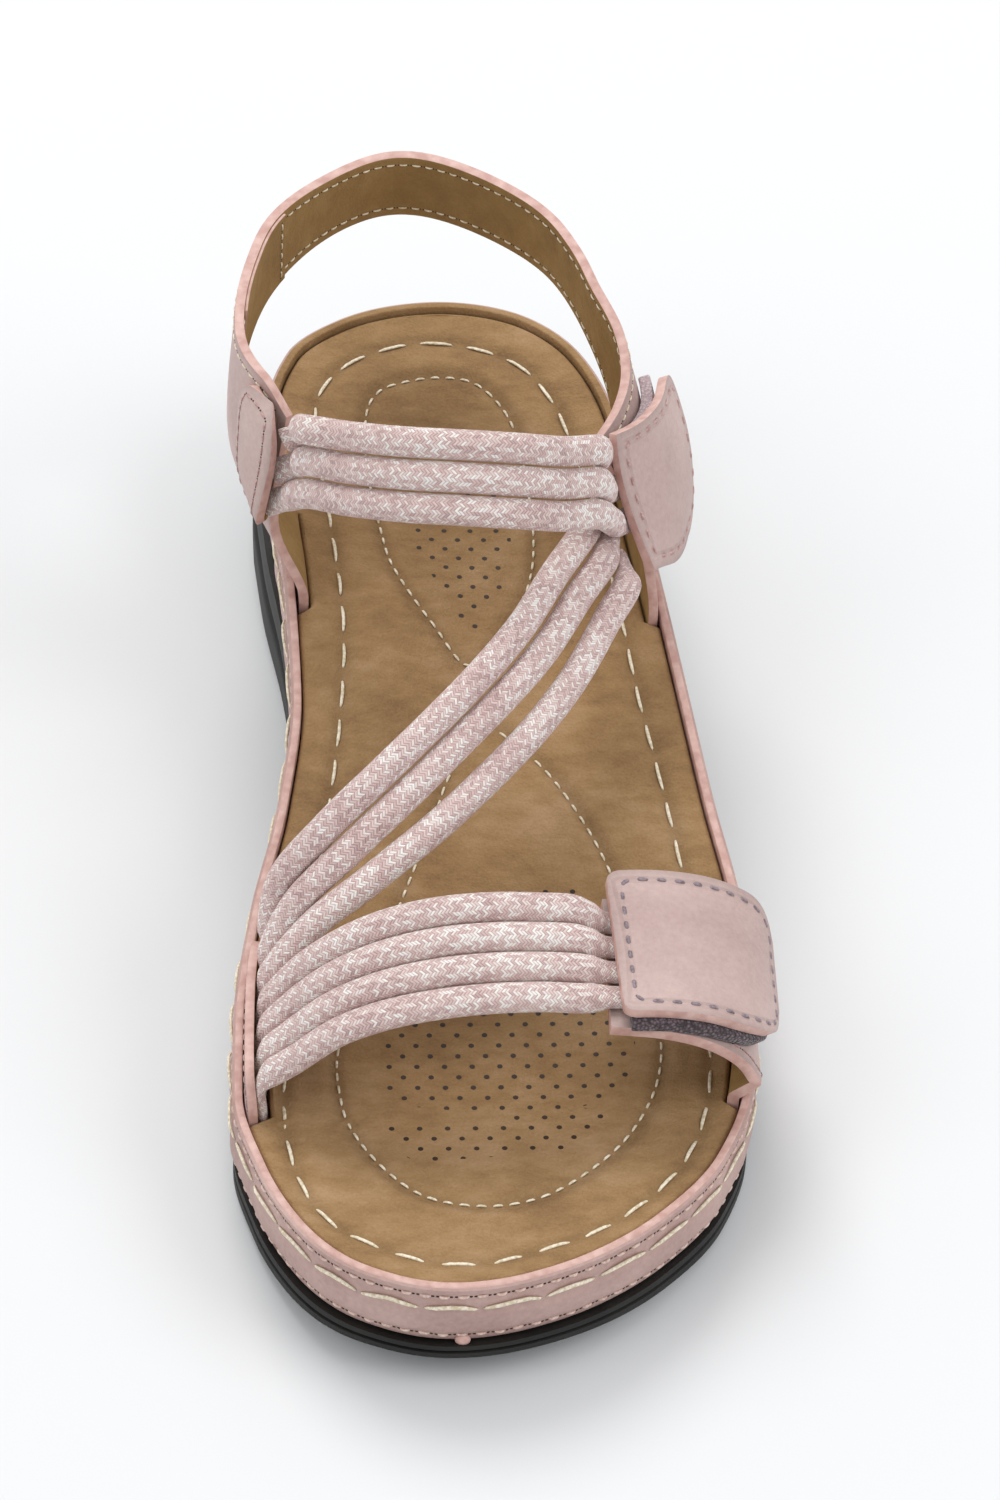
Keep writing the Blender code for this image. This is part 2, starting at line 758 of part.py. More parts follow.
def tab_stack(inner_wall, tape):
    """Lift of a tab's middle above the middle of the leather below it."""
    return 0.5 * inner_wall + GAP + tape + GAP + 0.5 * TAB_WALL


def make_ankle_tab(leather, tape, collection):
    lift = tab_stack(UPPER_WALL, TAPE_THICKNESS)
    grid = []
    for length_step in range(10):
        share = length_step / 9.0
        half = round_end(share, 0.72, 0.55)
        row = []
        for width_step in range(7):
            width_share = 0.5 + (width_step / 6.0 - 0.5) * half
            position, level = on_wall(ANKLE_TAB_CORNERS, share, width_share)
            flare = ANKLE_TAB_TOP_FLARE + (ANKLE_TAB_FLARE - ANKLE_TAB_TOP_FLARE) * width_share
            row.append(lifted_wall(position, level, lift + flare * share ** 2))
        grid.append(row)
    sheet("ankle_tab", grid, TAB_WALL, leather, collection)
    tape_lift = 0.5 * UPPER_WALL + GAP + 0.5 * TAPE_THICKNESS
    start, end = ANKLE_TAPE_SPAN
    grid = []
    for length_step in range(7):
        share = start + (end - start) * length_step / 6.0
        row = []
        for width_step in range(6):
            width_share = 0.06 + 0.88 * width_step / 5.0
            position, level = on_wall(ANKLE_TAB_CORNERS, share, width_share)
            row.append(lifted_wall(position, level, tape_lift))
        grid.append(row)
    sheet("ankle_hook_pad", grid, TAPE_THICKNESS, tape, collection)


def make_ankle_patch(material, collection):
    """Overlay on the medial quarter: it stands off the cord ends in front and closes behind."""
    open_lift = 0.5 * UPPER_WALL + CORD_END_THICKNESS + 0.5 * STRIP_WALL + PATCH_STANDOFF
    closed_lift = 0.5 * UPPER_WALL + GAP + 0.5 * STRIP_WALL
    grid = []
    for length_step in range(7):
        share = length_step / 6.0
        lift = open_lift + (closed_lift - open_lift) * share ** 2
        row = []
        for width_step in range(9):
            end = abs(width_step / 4.0 - 1.0)
            pull = 0.5 + (share - 0.5) * math.sqrt(max(0.0, 1.0 - 0.72 * end ** 4))
            position, level = on_wall(ANKLE_PATCH_CORNERS, pull, width_step / 8.0)
            row.append(lifted_wall(position, level, lift - (lift - closed_lift) * end ** 6))
        grid.append(row)
    return sheet("ankle_patch", grid, STRIP_WALL, material, collection)


toe_section = curve_through(range(len(TOE_WALL)), TOE_WALL, False)


def toe_wall(along, level):
    """Middle surface of the lateral toe quarter: level 0 is in the slot, 1 over the toes."""
    sunk_share = 0.18
    if level <= sunk_share:
        base = inset_point(turn_at(along), LATERAL, WALL_FOOT_INSET)
        share = level / sunk_share
        height = rim_height(along) - SLOT_DEPTH + share * (SLOT_DEPTH + STRAP_LIFT)
        return Vector((base.x, base.y, height))
    position = (level - sunk_share) / (1.0 - sunk_share) * len(TOE_WALL) - 1.0
    if position >= 0.0:
        across, rise = toe_section(position)
        return space(across, along, rise)
    base = inset_point(turn_at(along), LATERAL, WALL_FOOT_INSET)
    start = Vector((base.x, base.y, rim_height(along) + STRAP_LIFT))
    across, rise = toe_section(0.0)
    return start.lerp(space(across, along, rise), position + 1.0)


def lifted_toe_wall(along, level, lift):
    outward = surface_normal(toe_wall, along, level, 0.005, 0.02)
    if outward.z + outward.x < 0.0:
        outward = -outward
    return toe_wall(along, level) + outward * lift


def make_toe_side(leather, tape, collection):
    """Lateral toe quarter with its fastener tape and its tab."""
    grid = []
    rear, front = TOE_QUARTER_SPAN
    for length_step in range(7):
        along = rear + (front - rear) * length_step / 6.0
        grid.append([toe_wall(along, level_step / 10.0) for level_step in range(11)])
    sheet("toe_quarter", grid, UPPER_WALL, leather, collection)

    rear, front = TOE_TAPE_SPAN
    lift = 0.5 * UPPER_WALL + GAP + 0.5 * TAPE_THICKNESS
    inner, outer = TOE_TAPE_REACH
    grid = []
    for length_step in range(6):
        along = rear + (front - rear) * length_step / 5.0
        row = []
        for step in range(7):
            level = inner + (outer - inner) * step / 6.0
            skew = TOE_TAB_SKEW * (TOE_TAB_REACH[0] - level) / (TOE_TAB_REACH[0] - TOE_TAB_REACH[1])
            row.append(lifted_toe_wall(along - skew, level, lift))
        grid.append(row)
    sheet("toe_hook_pad", grid, TAPE_THICKNESS, tape, collection)

    rear, front = TOE_TAB_SPAN
    lift = tab_stack(UPPER_WALL, TAPE_THICKNESS)
    inner, outer = TOE_TAB_REACH
    middle = 0.5 * (rear + front)
    grid = []
    for length_step in range(10):
        share = length_step / 9.0
        half = 0.5 * (front - rear) * round_end(share, 0.72, 0.60)
        level = inner + (outer - inner) * share
        row = []
        for width_step in range(8):
            along = middle + (width_step / 3.5 - 1.0) * half - TOE_TAB_SKEW * share
            row.append(lifted_toe_wall(along, level, lift))
        grid.append(row)
    sheet("toe_tab", grid, TAB_WALL, leather, collection)


def make_toe_strip(material, collection):
    """Medial strip that stands in the slot outside the cord ends."""
    rear, front = TOE_STRIP_SPAN
    inset = RAND_WALL + GAP + 0.5 * STRIP_WALL
    grid = []
    for length_step in range(13):
        share = length_step / 12.0
        along = rear + (front - rear) * share
        rise = TOE_STRIP_RISE * UPPER_HEIGHT * (1.0 - (2.0 * share - 1.0) ** 8)
        base = inset_point(turn_at(along), MEDIAL, inset)
        row = []
        for level_step in range(5):
            level = level_step / 4.0
            height = rim_height(along) - SLOT_DEPTH + level * (SLOT_DEPTH + STRAP_LIFT + rise)
            row.append(Vector((base.x, base.y, height)))
        grid.append(row)
    return sheet("toe_strip", grid, STRIP_WALL, material, collection)


def cord(name, path, across_line, tucks, material, collection):
    """Oval elastic cord along a smooth path, flattened and narrowed where an end is sewn in."""
    lengths = [0.0]
    for here, following in zip(path, path[1:]):
        lengths.append(lengths[-1] + (following - here).length)
    track = curve_through(lengths, [tuple(point) for point in path], False)
    lean = curve_through(lengths, [tuple(line) for line in across_line], True)
    total = lengths[-1]
    start_tuck, end_tuck = tucks
    ends = [0.0, start_tuck, total - end_tuck, total]
    free = total - start_tuck - end_tuck
    inner = [start_tuck + free * step / (CORD_RINGS - 3) for step in range(1, CORD_RINGS - 3)]
    mesh = bmesh.new()
    rings = []
    for place in sorted(ends + inner):
        centre = Vector(track(place))
        tangent = Vector(track(min(total, place + PATH_STEP))) - Vector(track(max(0.0, place - PATH_STEP)))
        tangent.normalize()
        wide = Vector(lean(place))
        wide = (wide - tangent * wide.dot(tangent)).normalized()
        thick = tangent.cross(wide)
        beyond = min(place - start_tuck, total - end_tuck - place)
        full = max(0.0, min(1.0, beyond / CORD_FLATTENING))
        depth = CORD_END_THICKNESS + (CORD_THICKNESS - CORD_END_THICKNESS) * full
        width = CORD_END_WIDTH + (CORD_WIDTH - CORD_END_WIDTH) * full
        ring = []
        for side in range(CORD_SIDES):
            angle = 2.0 * math.pi * side / CORD_SIDES
            offset = wide * (0.5 * width * math.cos(angle)) + thick * (0.5 * depth * math.sin(angle))
            ring.append(mesh.verts.new(centre + offset))
        rings.append(ring)
    for lower, upper in zip(rings, rings[1:]):
        skin(mesh, lower, upper)
    mesh.faces.new(rings[0])
    mesh.faces.new(rings[-1])
    return finish_mesh(name, mesh, material, collection, 60.0)


def width_direction(slope_degrees):
    slope = math.radians(slope_degrees)
    return Vector((0.0, -math.cos(slope), -math.sin(slope)))


def across_lines(path, slopes):
    """Direction of a band's width at each point of its path, square to the path."""
    lines = []
    for index, slope in enumerate(slopes):
        tangent = path[min(index + 1, len(path) - 1)] - path[max(index - 1, 0)]
        tangent.normalize()
        wide = width_direction(slope)
        lines.append((wide - tangent * wide.dot(tangent)).normalized())
    return lines


CORD_LIFT = 0.5 * UPPER_WALL + GAP + 0.5 * CORD_END_THICKNESS


def tab_edge_points(share, lift):
    """Two points where a cord end lies under the front edge of the ankle tab."""
    top, low = [Vector(corner) for corner in (ANKLE_TAB_CORNERS[0], ANKLE_TAB_CORNERS[3])]
    tab_top = ankle_wall(*ANKLE_TAB_CORNERS[0])
    tab_rear = ankle_wall(*ANKLE_TAB_CORNERS[1])
    tuck_share = TAB_TUCK / (tab_rear - tab_top).length
    points = [
        lifted_wall(*on_wall(ANKLE_TAB_CORNERS, length_share, share), lift)
        for length_share in (tuck_share, 0.0)
    ]
    down = lifted_wall(*top.lerp(low, share + 0.05), lift) - points[1]
    return points, down.normalized()


def tab_edge_length():
    return (ankle_wall(*ANKLE_TAB_CORNERS[3]) - ankle_wall(*ANKLE_TAB_CORNERS[0])).length


def patch_points(level):
    """Two points where a cord end lies under the medial patch."""
    front = ANKLE_PATCH_CORNERS[3][0]
    here = ankle_wall(front, level)
    rate = (here - ankle_wall(front - 0.1, level)).length / 0.1
    points = [
        lifted_wall(front + 0.35, level, CORD_LIFT - 0.5 * EDGE_CLEARANCE),
        lifted_wall(front - PATCH_TUCK / rate, level, CORD_LIFT),
    ]
    down = ankle_wall(front, level - 0.02) - ankle_wall(front, level + 0.02)
    return points, down.normalized(), down.length / 0.04


def seam_points(number):
    """Last points of a cord that goes down inside the medial strip, rear cord first."""
    along = SEAM_REAR + (number + 0.5) * CORD_END_PITCH / FOOTBED_LENGTH
    inset = RAND_WALL + GAP + STRIP_WALL + GAP + 0.5 * CORD_END_THICKNESS
    base = inset_point(turn_at(along), MEDIAL, inset)
    low = rim_height(along) - SEAM_TUCK
    return [Vector((base.x, base.y, low + SEAM_DEPTH)), Vector((base.x, base.y, low))]


FORWARD = Vector((0.0, -1.0, 0.0))


def make_instep_cords(material, collection):
    middle = [space(*row[:3]) for row in INSTEP_LINE]
    lines = across_lines(middle, [row[3] for row in INSTEP_LINE])
    level_rate = patch_points(INSTEP_END_LEVEL)[2]
    for number in range(INSTEP_CORDS):
        step = number - 0.5 * (INSTEP_CORDS - 1)
        share = INSTEP_TAB_SHARE + step * END_SPREAD * CORD_PITCH / tab_edge_length()
        tab_points, tab_down = tab_edge_points(share, CORD_LIFT)
        level = INSTEP_END_LEVEL - step * END_SPREAD * CORD_PITCH / level_rate
        end_points, end_down, _ = patch_points(level)
        path = [point + line * step * CORD_PITCH for point, line in zip(middle, lines)]
        path = tab_points + path + end_points
        widths = [tab_down, tab_down] + lines + [end_down, end_down]
        name = f"instep_cord_{number + 1}"
        cord(name, path, widths, (TAB_TUCK + EDGE_CLEARANCE, PATCH_TUCK + EDGE_CLEARANCE), material, collection)


def make_toe_cords(material, collection):
    middle = [space(*row[:3]) for row in TOE_LINE]
    lines = across_lines(middle, [row[3] for row in TOE_LINE])
    rate = (toe_wall(TOE_END_ALONG, 1.0) - toe_wall(TOE_END_ALONG, 0.9)).length / 0.1
    for number in range(TOE_CORDS):
        step = number - 0.5 * (TOE_CORDS - 1)
        along = TOE_END_ALONG + step * CORD_PITCH / FOOTBED_LENGTH
        path = [
            lifted_toe_wall(along, TOE_TAB_REACH[0] - TAB_TUCK / rate, CORD_LIFT),
            lifted_toe_wall(along, TOE_TAB_REACH[0], CORD_LIFT),
        ]
        path += [point + line * step * CORD_PITCH for point, line in zip(middle, lines)]
        path += seam_points(DIAGONAL_CORDS + number)
        widths = [FORWARD, FORWARD] + lines + [FORWARD, FORWARD]
        name = f"toe_cord_{number + 1}"
        cord(name, path, widths, (TAB_TUCK, SEAM_DEPTH), material, collection)


def make_diagonal_cords(material, collection):
    rear = [space(*row[:3]) for row in DIAGONAL_LINE]
    lines = across_lines(rear, [row[3] for row in DIAGONAL_LINE])
    under = CORD_LIFT - CORD_END_THICKNESS - GAP
    for number in range(DIAGONAL_CORDS):
        tab_points, tab_down = tab_edge_points(DIAGONAL_TAB_SHARES[number], under)
        path = tab_points[1:]
        for point, line, row in zip(rear, lines, DIAGONAL_LINE):
            steps = sum(row[4:4 + number])
            path.append(point + line * steps * CORD_PITCH)
        path += seam_points(number)
        widths = [tab_down] + lines + [FORWARD, FORWARD]
        name = f"diagonal_cord_{number + 1}"
        cord(name, path, widths, (TAB_TUCK, SEAM_DEPTH), material, collection)


def main():
    clear_scene()
    pieces = make_collection("cross_strap_sandal")
    guides = make_collection("guides")
    leather = make_material("leather", LEATHER, 0.55)
    elastic = make_material("elastic", ELASTIC, 0.60)
    suede = make_material("suede", SUEDE, 0.90)
    rubber = make_material("rubber", RUBBER, 0.50)
    tape = make_material("fastener_tape", TAPE, 0.95)
    outsole = make_outsole(rubber, pieces)
    cut_tread(outsole, guides)
    make_midsole(leather, pieces)
    make_footbed(suede, pieces)
    make_heel_strap(leather, pieces)
    make_ankle_tab(leather, tape, pieces)
    make_ankle_patch(leather, pieces)
    make_toe_side(leather, tape, pieces)
    make_toe_strip(leather, pieces)
    make_instep_cords(elastic, pieces)
    make_diagonal_cords(elastic, pieces)
    make_toe_cords(elastic, pieces)


main()
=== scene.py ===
import math
from functools import lru_cache

import bmesh
import bpy
import numpy as np
from mathutils import Matrix, Vector
from mathutils.kdtree import KDTree


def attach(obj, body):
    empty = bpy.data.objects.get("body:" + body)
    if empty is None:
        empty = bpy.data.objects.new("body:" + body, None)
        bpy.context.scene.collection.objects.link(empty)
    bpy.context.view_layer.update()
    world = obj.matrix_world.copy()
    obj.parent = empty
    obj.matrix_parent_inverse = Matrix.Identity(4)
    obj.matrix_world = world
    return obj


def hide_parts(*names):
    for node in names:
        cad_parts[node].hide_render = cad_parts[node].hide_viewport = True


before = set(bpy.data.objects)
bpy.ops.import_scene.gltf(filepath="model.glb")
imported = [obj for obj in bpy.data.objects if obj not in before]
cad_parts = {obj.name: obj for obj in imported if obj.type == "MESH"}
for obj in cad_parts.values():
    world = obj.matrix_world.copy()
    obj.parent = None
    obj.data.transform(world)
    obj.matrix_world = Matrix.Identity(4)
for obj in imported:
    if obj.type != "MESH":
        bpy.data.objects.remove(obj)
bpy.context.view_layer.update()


# Driving sizes of the last and of the sole
FOOTBED_LENGTH = 0.250
BALL_WIDTH = 0.098
UPPER_HEIGHT = 0.060
HEEL_SEAT_SETBACK = 0.035
HEEL_HEIGHT = 0.039
FOREFOOT_HEIGHT = 0.022
TOE_SPRING = 0.0074
TOE_RIM_LIFT = 0.0042
HEEL_OUTSOLE = 0.0245
FOREFOOT_OUTSOLE = 0.0060
TOE_OUTSOLE_LIFT = 0.0048
ARCH_RELIEF = 0.0022
HEEL_BEVEL = 0.0016

# Walls, layers and clearances
GAP = 0.0003
RAND_WALL = 0.0016
RAND_BULGE = 0.0008
RECESS_DEPTH = 0.0088
FOOTBED_STEP = 0.0012
FOOTBED_EDGE_ROUND = 0.0009
HEEL_CUP = 0.0042
FOREFOOT_DISH = 0.0014
ARCH_BUMP = 0.0030
UPPER_WALL = 0.0022
STRIP_WALL = 0.0018
TAB_WALL = 0.0019
TAPE_THICKNESS = 0.0024
SLOT_DEPTH = 0.0062
SLOT_END_ROOM = 0.0006
STRAP_LIFT = 0.0006

# Outsole side and tread
HEEL_FLARE = 0.0034
TOE_FLARE = 0.0015
SIDE_RIB_DEPTH = 0.0007
GROOVE_WIDTH = 0.0026
GROOVE_DEPTH = 0.0017
GROOVE_PITCH = 0.0125
TREAD_SPANS = ((0.105, 0.275), (0.565, 0.800))
TREAD_HALF_REACH = 0.36
TREAD_GROOVE_CENTRE = 0.56
TREAD_GROOVE_LENGTH = 0.92
TREAD_GROOVE_SWEEP = 0.30
HEEL_FLARE_SPAN = (0.16, 0.36)
TOE_FLARE_SPAN = (0.78, 0.96)

# Elastic cords
CORD_WIDTH = 0.0059
CORD_THICKNESS = 0.0048
CORD_END_WIDTH = 0.0052
CORD_END_THICKNESS = 0.0022
CORD_FLATTENING = 0.0036
CORD_PITCH = CORD_WIDTH + GAP
CORD_END_PITCH = CORD_END_WIDTH + 2.0 * GAP
TAB_TUCK = 0.0045
PATCH_TUCK = 0.0050
PATCH_STANDOFF = 0.0016
EDGE_CLEARANCE = 0.0012
END_SPREAD = 1.10
MEDIAL_END_SPREAD = 1.40
INSTEP_CORDS = 3
DIAGONAL_CORDS = 3
TOE_CORDS = 4
SEAM_REAR = 0.658
SEAM_DEPTH = 0.0100
SEAM_TUCK = 0.0042
TURN_STEP = 0.004
PATH_STEP = 0.0005

# Plan of the rim's outer edge. Columns: along, medial half width, lateral half width
PLAN = (
    (0.000, 0.000, 0.000),
    (0.020, 0.205, 0.188),
    (0.060, 0.318, 0.285),
    (0.120, 0.359, 0.345),
    (0.220, 0.354, 0.388),
    (0.320, 0.333, 0.425),
    (0.420, 0.325, 0.461),
    (0.520, 0.356, 0.498),
    (0.620, 0.414, 0.539),
    (0.720, 0.450, 0.551),
    (0.800, 0.455, 0.531),
    (0.870, 0.415, 0.466),
    (0.930, 0.347, 0.342),
    (0.970, 0.262, 0.206),
    (0.990, 0.172, 0.092),
    (1.000, 0.050, -0.050),
)

# Side profile. Columns: along, share of the heel's extra height, share of the toe spring,
# share of the arch relief, share of the heel bevel
SIDE = (
    (0.000, 1.00, 0.00, 0.00, 1.00),
    (0.050, 0.99, 0.00, 0.00, 0.00),
    (0.120, 0.97, 0.00, 0.00, 0.00),
    (0.250, 0.86, 0.00, 0.00, 0.00),
    (0.330, 0.73, 0.00, 0.40, 0.00),
    (0.420, 0.54, 0.00, 1.00, 0.00),
    (0.520, 0.30, 0.00, 0.50, 0.00),
    (0.600, 0.13, 0.00, 0.00, 0.00),
    (0.700, 0.00, 0.00, 0.00, 0.00),
    (0.780, 0.00, 0.00, 0.00, 0.00),
    (0.850, 0.00, 0.16, 0.00, 0.00),
    (0.920, 0.00, 0.46, 0.00, 0.00),
    (1.000, 0.00, 1.00, 0.00, 0.00),
)

# Side wall of the outsole. Columns: share of its height, outset as a share of the flare,
# inset as a share of the side rib's depth
OUTSOLE_SIDE = (
    (0.00, 0.20, 1.00),
    (0.12, 1.00, 0.00),
    (0.50, 1.00, 0.00),
    (0.56, 0.86, 1.00),
    (0.64, 0.82, 1.00),
    (0.70, 0.90, 0.00),
    (1.00, 0.78, 0.00),
)

# Rand around the midsole. Columns: share of its height, outset as a share of the rand's bulge,
# inset as a share of the rand's wall
RAND_SIDE = (
    (0.00, 0.0, 0.25),
    (0.16, 0.6, 0.00),
    (0.45, 1.0, 0.00),
    (0.78, 0.5, 0.00),
)

# Hollows and bump of the footbed. Columns: along of the middle, reach along
HEEL_BOWL = (0.13, 0.16)
FORE_BOWL = (0.76, 0.22)
ARCH_PLACE = (0.40, 0.13)
ARCH_SIDE = (-0.62, 0.42)
BOWL_ROUNDNESS = 2.6
BOWL_END_RISE = 6.5

# Wall around the heel and ankle, from the lateral front past the back of the heel to the medial
# front. Columns: side of the foot of the wall, its along, then across, along and rise of the
# middle, then the same of the top. The first and last rows lie ahead of the leather's edges
LATERAL = 1
MEDIAL = -1
ANKLE_WALL = (
    (LATERAL, 0.385, 0.362, 0.372, 0.270, 0.215, 0.344, 0.610),
    (LATERAL, 0.348, 0.384, 0.338, 0.240, 0.275, 0.312, 0.640),
    (LATERAL, 0.312, 0.392, 0.302, 0.255, 0.320, 0.282, 0.655),
    (LATERAL, 0.272, 0.392, 0.260, 0.290, 0.342, 0.246, 0.660),
    (LATERAL, 0.228, 0.370, 0.216, 0.330, 0.330, 0.210, 0.700),
    (LATERAL, 0.180, 0.320, 0.174, 0.370, 0.286, 0.172, 0.745),
    (LATERAL, 0.128, 0.264, 0.124, 0.380, 0.248, 0.134, 0.770),
    (LATERAL, 0.068, 0.180, 0.070, 0.380, 0.164, 0.080, 0.775),
    (LATERAL, 0.004, -0.056, 0.013, 0.380, -0.066, 0.023, 0.772),
    (MEDIAL, 0.060, -0.240, 0.042, 0.380, -0.232, 0.053, 0.776),
    (MEDIAL, 0.120, -0.350, 0.102, 0.390, -0.350, 0.102, 0.795),
    (MEDIAL, 0.168, -0.412, 0.150, 0.385, -0.398, 0.152, 0.800),
    (MEDIAL, 0.216, -0.440, 0.204, 0.370, -0.424, 0.204, 0.810),
    (MEDIAL, 0.260, -0.436, 0.246, 0.345, -0.424, 0.246, 0.815),
    (MEDIAL, 0.296, -0.402, 0.286, 0.325, -0.392, 0.276, 0.810),
    (MEDIAL, 0.330, -0.360, 0.318, 0.310, -0.326, 0.304, 0.790),
    (MEDIAL, 0.368, -0.330, 0.352, 0.290, -0.240, 0.330, 0.760),
)

# Shares of the wall's height where its slot floor, rim, middle and top lie
WALL_LEVELS = (0.00, 0.16, 0.52, 1.00)

# Height of the heel strap's edges on that wall. Columns: position along the wall in rows of the
# table above, lower edge and upper edge as shares of the wall's height
STRAP_EDGES = (
    (1.00, 0.00, 1.00),
    (4.20, 0.00, 1.00),
    (4.40, 0.22, 1.00),
    (4.75, 0.42, 1.00),
    (5.30, 0.545, 1.00),
    (6.20, 0.62, 1.00),
    (8.00, 0.64, 1.00),
    (10.00, 0.64, 1.00),
    (11.20, 0.59, 1.00),
    (12.05, 0.42, 1.00),
    (12.40, 0.22, 1.00),
    (12.60, 0.00, 1.00),
    (14.20, 0.00, 1.00),
    (15.00, 0.00, 0.94),
)

# Where the quarters go down into their slots: rear and front positions along the wall
LATERAL_SLOT = (4.40, 1.00)
MEDIAL_SLOT = (12.40, 15.00)

# Corners of the lateral ankle tab and of the medial patch on that wall: row position and share of
# the wall's height, front top, rear top, rear bottom and front bottom
ANKLE_TAB_CORNERS = ((1.05, 1.03), (3.85, 0.82), (2.85, 0.38), (-0.22, 0.58))
ANKLE_TAB_FLARE = 0.0045
ANKLE_TAB_TOP_FLARE = 0.0015
ANKLE_TAPE_SPAN = (0.30, 0.97)
TAPE_BORDER = 0.06
ANKLE_PATCH_CORNERS = ((15.12, 0.965), (13.85, 0.98), (13.84, 0.58), (15.64, 0.56))
INSTEP_END_LEVEL = 0.855
INSTEP_TAB_SHARE = 0.37
DIAGONAL_TAB_SHARES = (0.42, 0.63, 0.86)

# Middle line of the instep band, lateral end first. Columns: across, along, rise, slope of the
# band's width below the horizontal in degrees
INSTEP_LINE = (
    (0.268, 0.371, 0.725, 50.0),
    (0.209, 0.389, 0.800, 50.0),
    (0.104, 0.414, 0.930, 50.0),
    (-0.001, 0.421, 0.978, 50.0),
    (-0.104, 0.412, 0.950, 50.0),
    (-0.218, 0.380, 0.830, 50.0),
    (-0.304, 0.342, 0.689, 54.0),
)

# Line of the rear diagonal cord, lateral end first. Columns: across, along, rise, slope of the
# band's width, and the steps from the rear to the middle and to the front cord in cord pitches
DIAGONAL_LINE = (
    (0.248, 0.372, 0.500, 14.0, 1.00, 1.00),
    (0.192, 0.415, 0.544, 16.0, 1.05, 1.18),
    (0.104, 0.486, 0.609, 22.0, 1.06, 1.34),
    (0.029, 0.531, 0.638, 30.0, 1.02, 1.42),
    (-0.061, 0.573, 0.638, 36.0, 1.00, 1.42),
    (-0.153, 0.609, 0.608, 40.0, 1.00, 1.32),
    (-0.277, 0.643, 0.492, 42.0, 1.00, 1.12),
    (-0.366, 0.656, 0.300, 30.0, 1.00, 1.00),
)

# Middle line of the toe band, lateral end first. Columns as for the instep band
TOE_LINE = (
    (0.185, 0.756, 0.440, 14.0),
    (0.143, 0.758, 0.455, 14.0),
    (0.039, 0.763, 0.480, 16.0),
    (-0.089, 0.767, 0.468, 16.0),
    (-0.169, 0.770, 0.438, 14.0),
    (-0.260, 0.771, 0.357, 10.0),
    (-0.345, 0.771, 0.215, 6.0),
)
TOE_END_ALONG = 0.750

# Wall of the lateral toe quarter, from the slot up over the toes. Columns: across, rise. The first
# share of its height goes down into the slot
TOE_SLOT_SHARE = 0.18
TOE_WALL = (
    (0.535, 0.085),
    (0.500, 0.185),
    (0.435, 0.268),
    (0.350, 0.318),
    (0.250, 0.340),
)
TOE_QUARTER_SPAN = (0.684, 0.812)
TOE_TAB_SPAN = (0.672, 0.814)
TOE_TAB_SKEW = 0.018
TOE_TAB_REACH = (1.00, 0.36)
TOE_STRIP_SPAN = (0.655, 0.826)
TOE_STRIP_RISE = 0.125


def curve_through(knots, values, monotone):
    """Curve through the rows of a table. A monotone one never swings past its rows."""
    knots = np.array(knots, float)
    values = np.array(values, float).reshape(len(knots), -1)
    steps = np.diff(knots)[:, None]
    slopes = np.diff(values, axis=0) / steps
    tangents = np.vstack((slopes[:1], np.zeros_like(slopes[1:]), slopes[-1:]))
    before, after = slopes[:-1], slopes[1:]
    if monotone:
        same = before * after > 0
        safe_before = np.where(same, before, 1.0)
        safe_after = np.where(same, after, 1.0)
        first = 2.0 * steps[1:] + steps[:-1]
        second = steps[1:] + 2.0 * steps[:-1]
        blend = (first + second) / (first / safe_before + second / safe_after)
        tangents[1:-1] = np.where(same, blend, 0.0)
    else:
        tangents[1:-1] = (before * steps[1:] + after * steps[:-1]) / (steps[1:] + steps[:-1])

    def value(position):
        row = int(np.clip(np.searchsorted(knots, position) - 1, 0, len(knots) - 2))
        width = steps[row, 0]
        t = (position - knots[row]) / width
        near = 1.0 + 2.0 * t
        start = near * (1.0 - t) ** 2 * values[row] + t * (1.0 - t) ** 2 * width * tangents[row]
        end = t * t * (3.0 - 2.0 * t) * values[row + 1]
        end = end + t * t * (t - 1.0) * width * tangents[row + 1]
        if t < 0.0:
            return values[row] + tangents[row] * width * t
        if t > 1.0:
            return values[row + 1] + tangents[row + 1] * width * (t - 1.0)
        return start + end

    return value


def table_curve(table, monotone=True):
    """Curve through a table whose first column is the position."""
    return curve_through([row[0] for row in table], [row[1:] for row in table], monotone)


def turn_at(along):
    """Angle whose cosine runs from the heel to the toe, so that both ends come out round."""
    return math.acos(max(-1.0, min(1.0, 1.0 - 2.0 * along)))


plan_width = curve_through([turn_at(row[0]) for row in PLAN], [row[1:] for row in PLAN], True)
side_share = table_curve(SIDE)


def along_at(turn):
    """Share of the sole's length at that angle."""
    return (1.0 - math.cos(turn)) / 2.0


def along_to_y(along):
    return HEEL_SEAT_SETBACK - along * FOOTBED_LENGTH


def y_to_along(y):
    return (HEEL_SEAT_SETBACK - y) / FOOTBED_LENGTH


def rim_height(along):
    heel, toe, _, _ = side_share(along)
    return FOREFOOT_HEIGHT + (HEEL_HEIGHT - FOREFOOT_HEIGHT) * heel + TOE_RIM_LIFT * toe


def split_height(along):
    """Height of the joint between outsole and midsole."""
    heel, toe, _, _ = side_share(along)
    return FOREFOOT_OUTSOLE + (HEEL_OUTSOLE - FOREFOOT_OUTSOLE) * heel + TOE_OUTSOLE_LIFT * toe


def ground_height(along):
    """Height of the outsole's bottom above the floor."""
    _, toe, arch, bevel = side_share(along)
    return TOE_SPRING * toe + ARCH_RELIEF * arch + HEEL_BEVEL * bevel


def space(across, along, rise):
    """Point of the upper, from shares of the last's sizes."""
    height = rim_height(along) + rise * UPPER_HEIGHT
    return Vector((across * BALL_WIDTH, along_to_y(along), height))


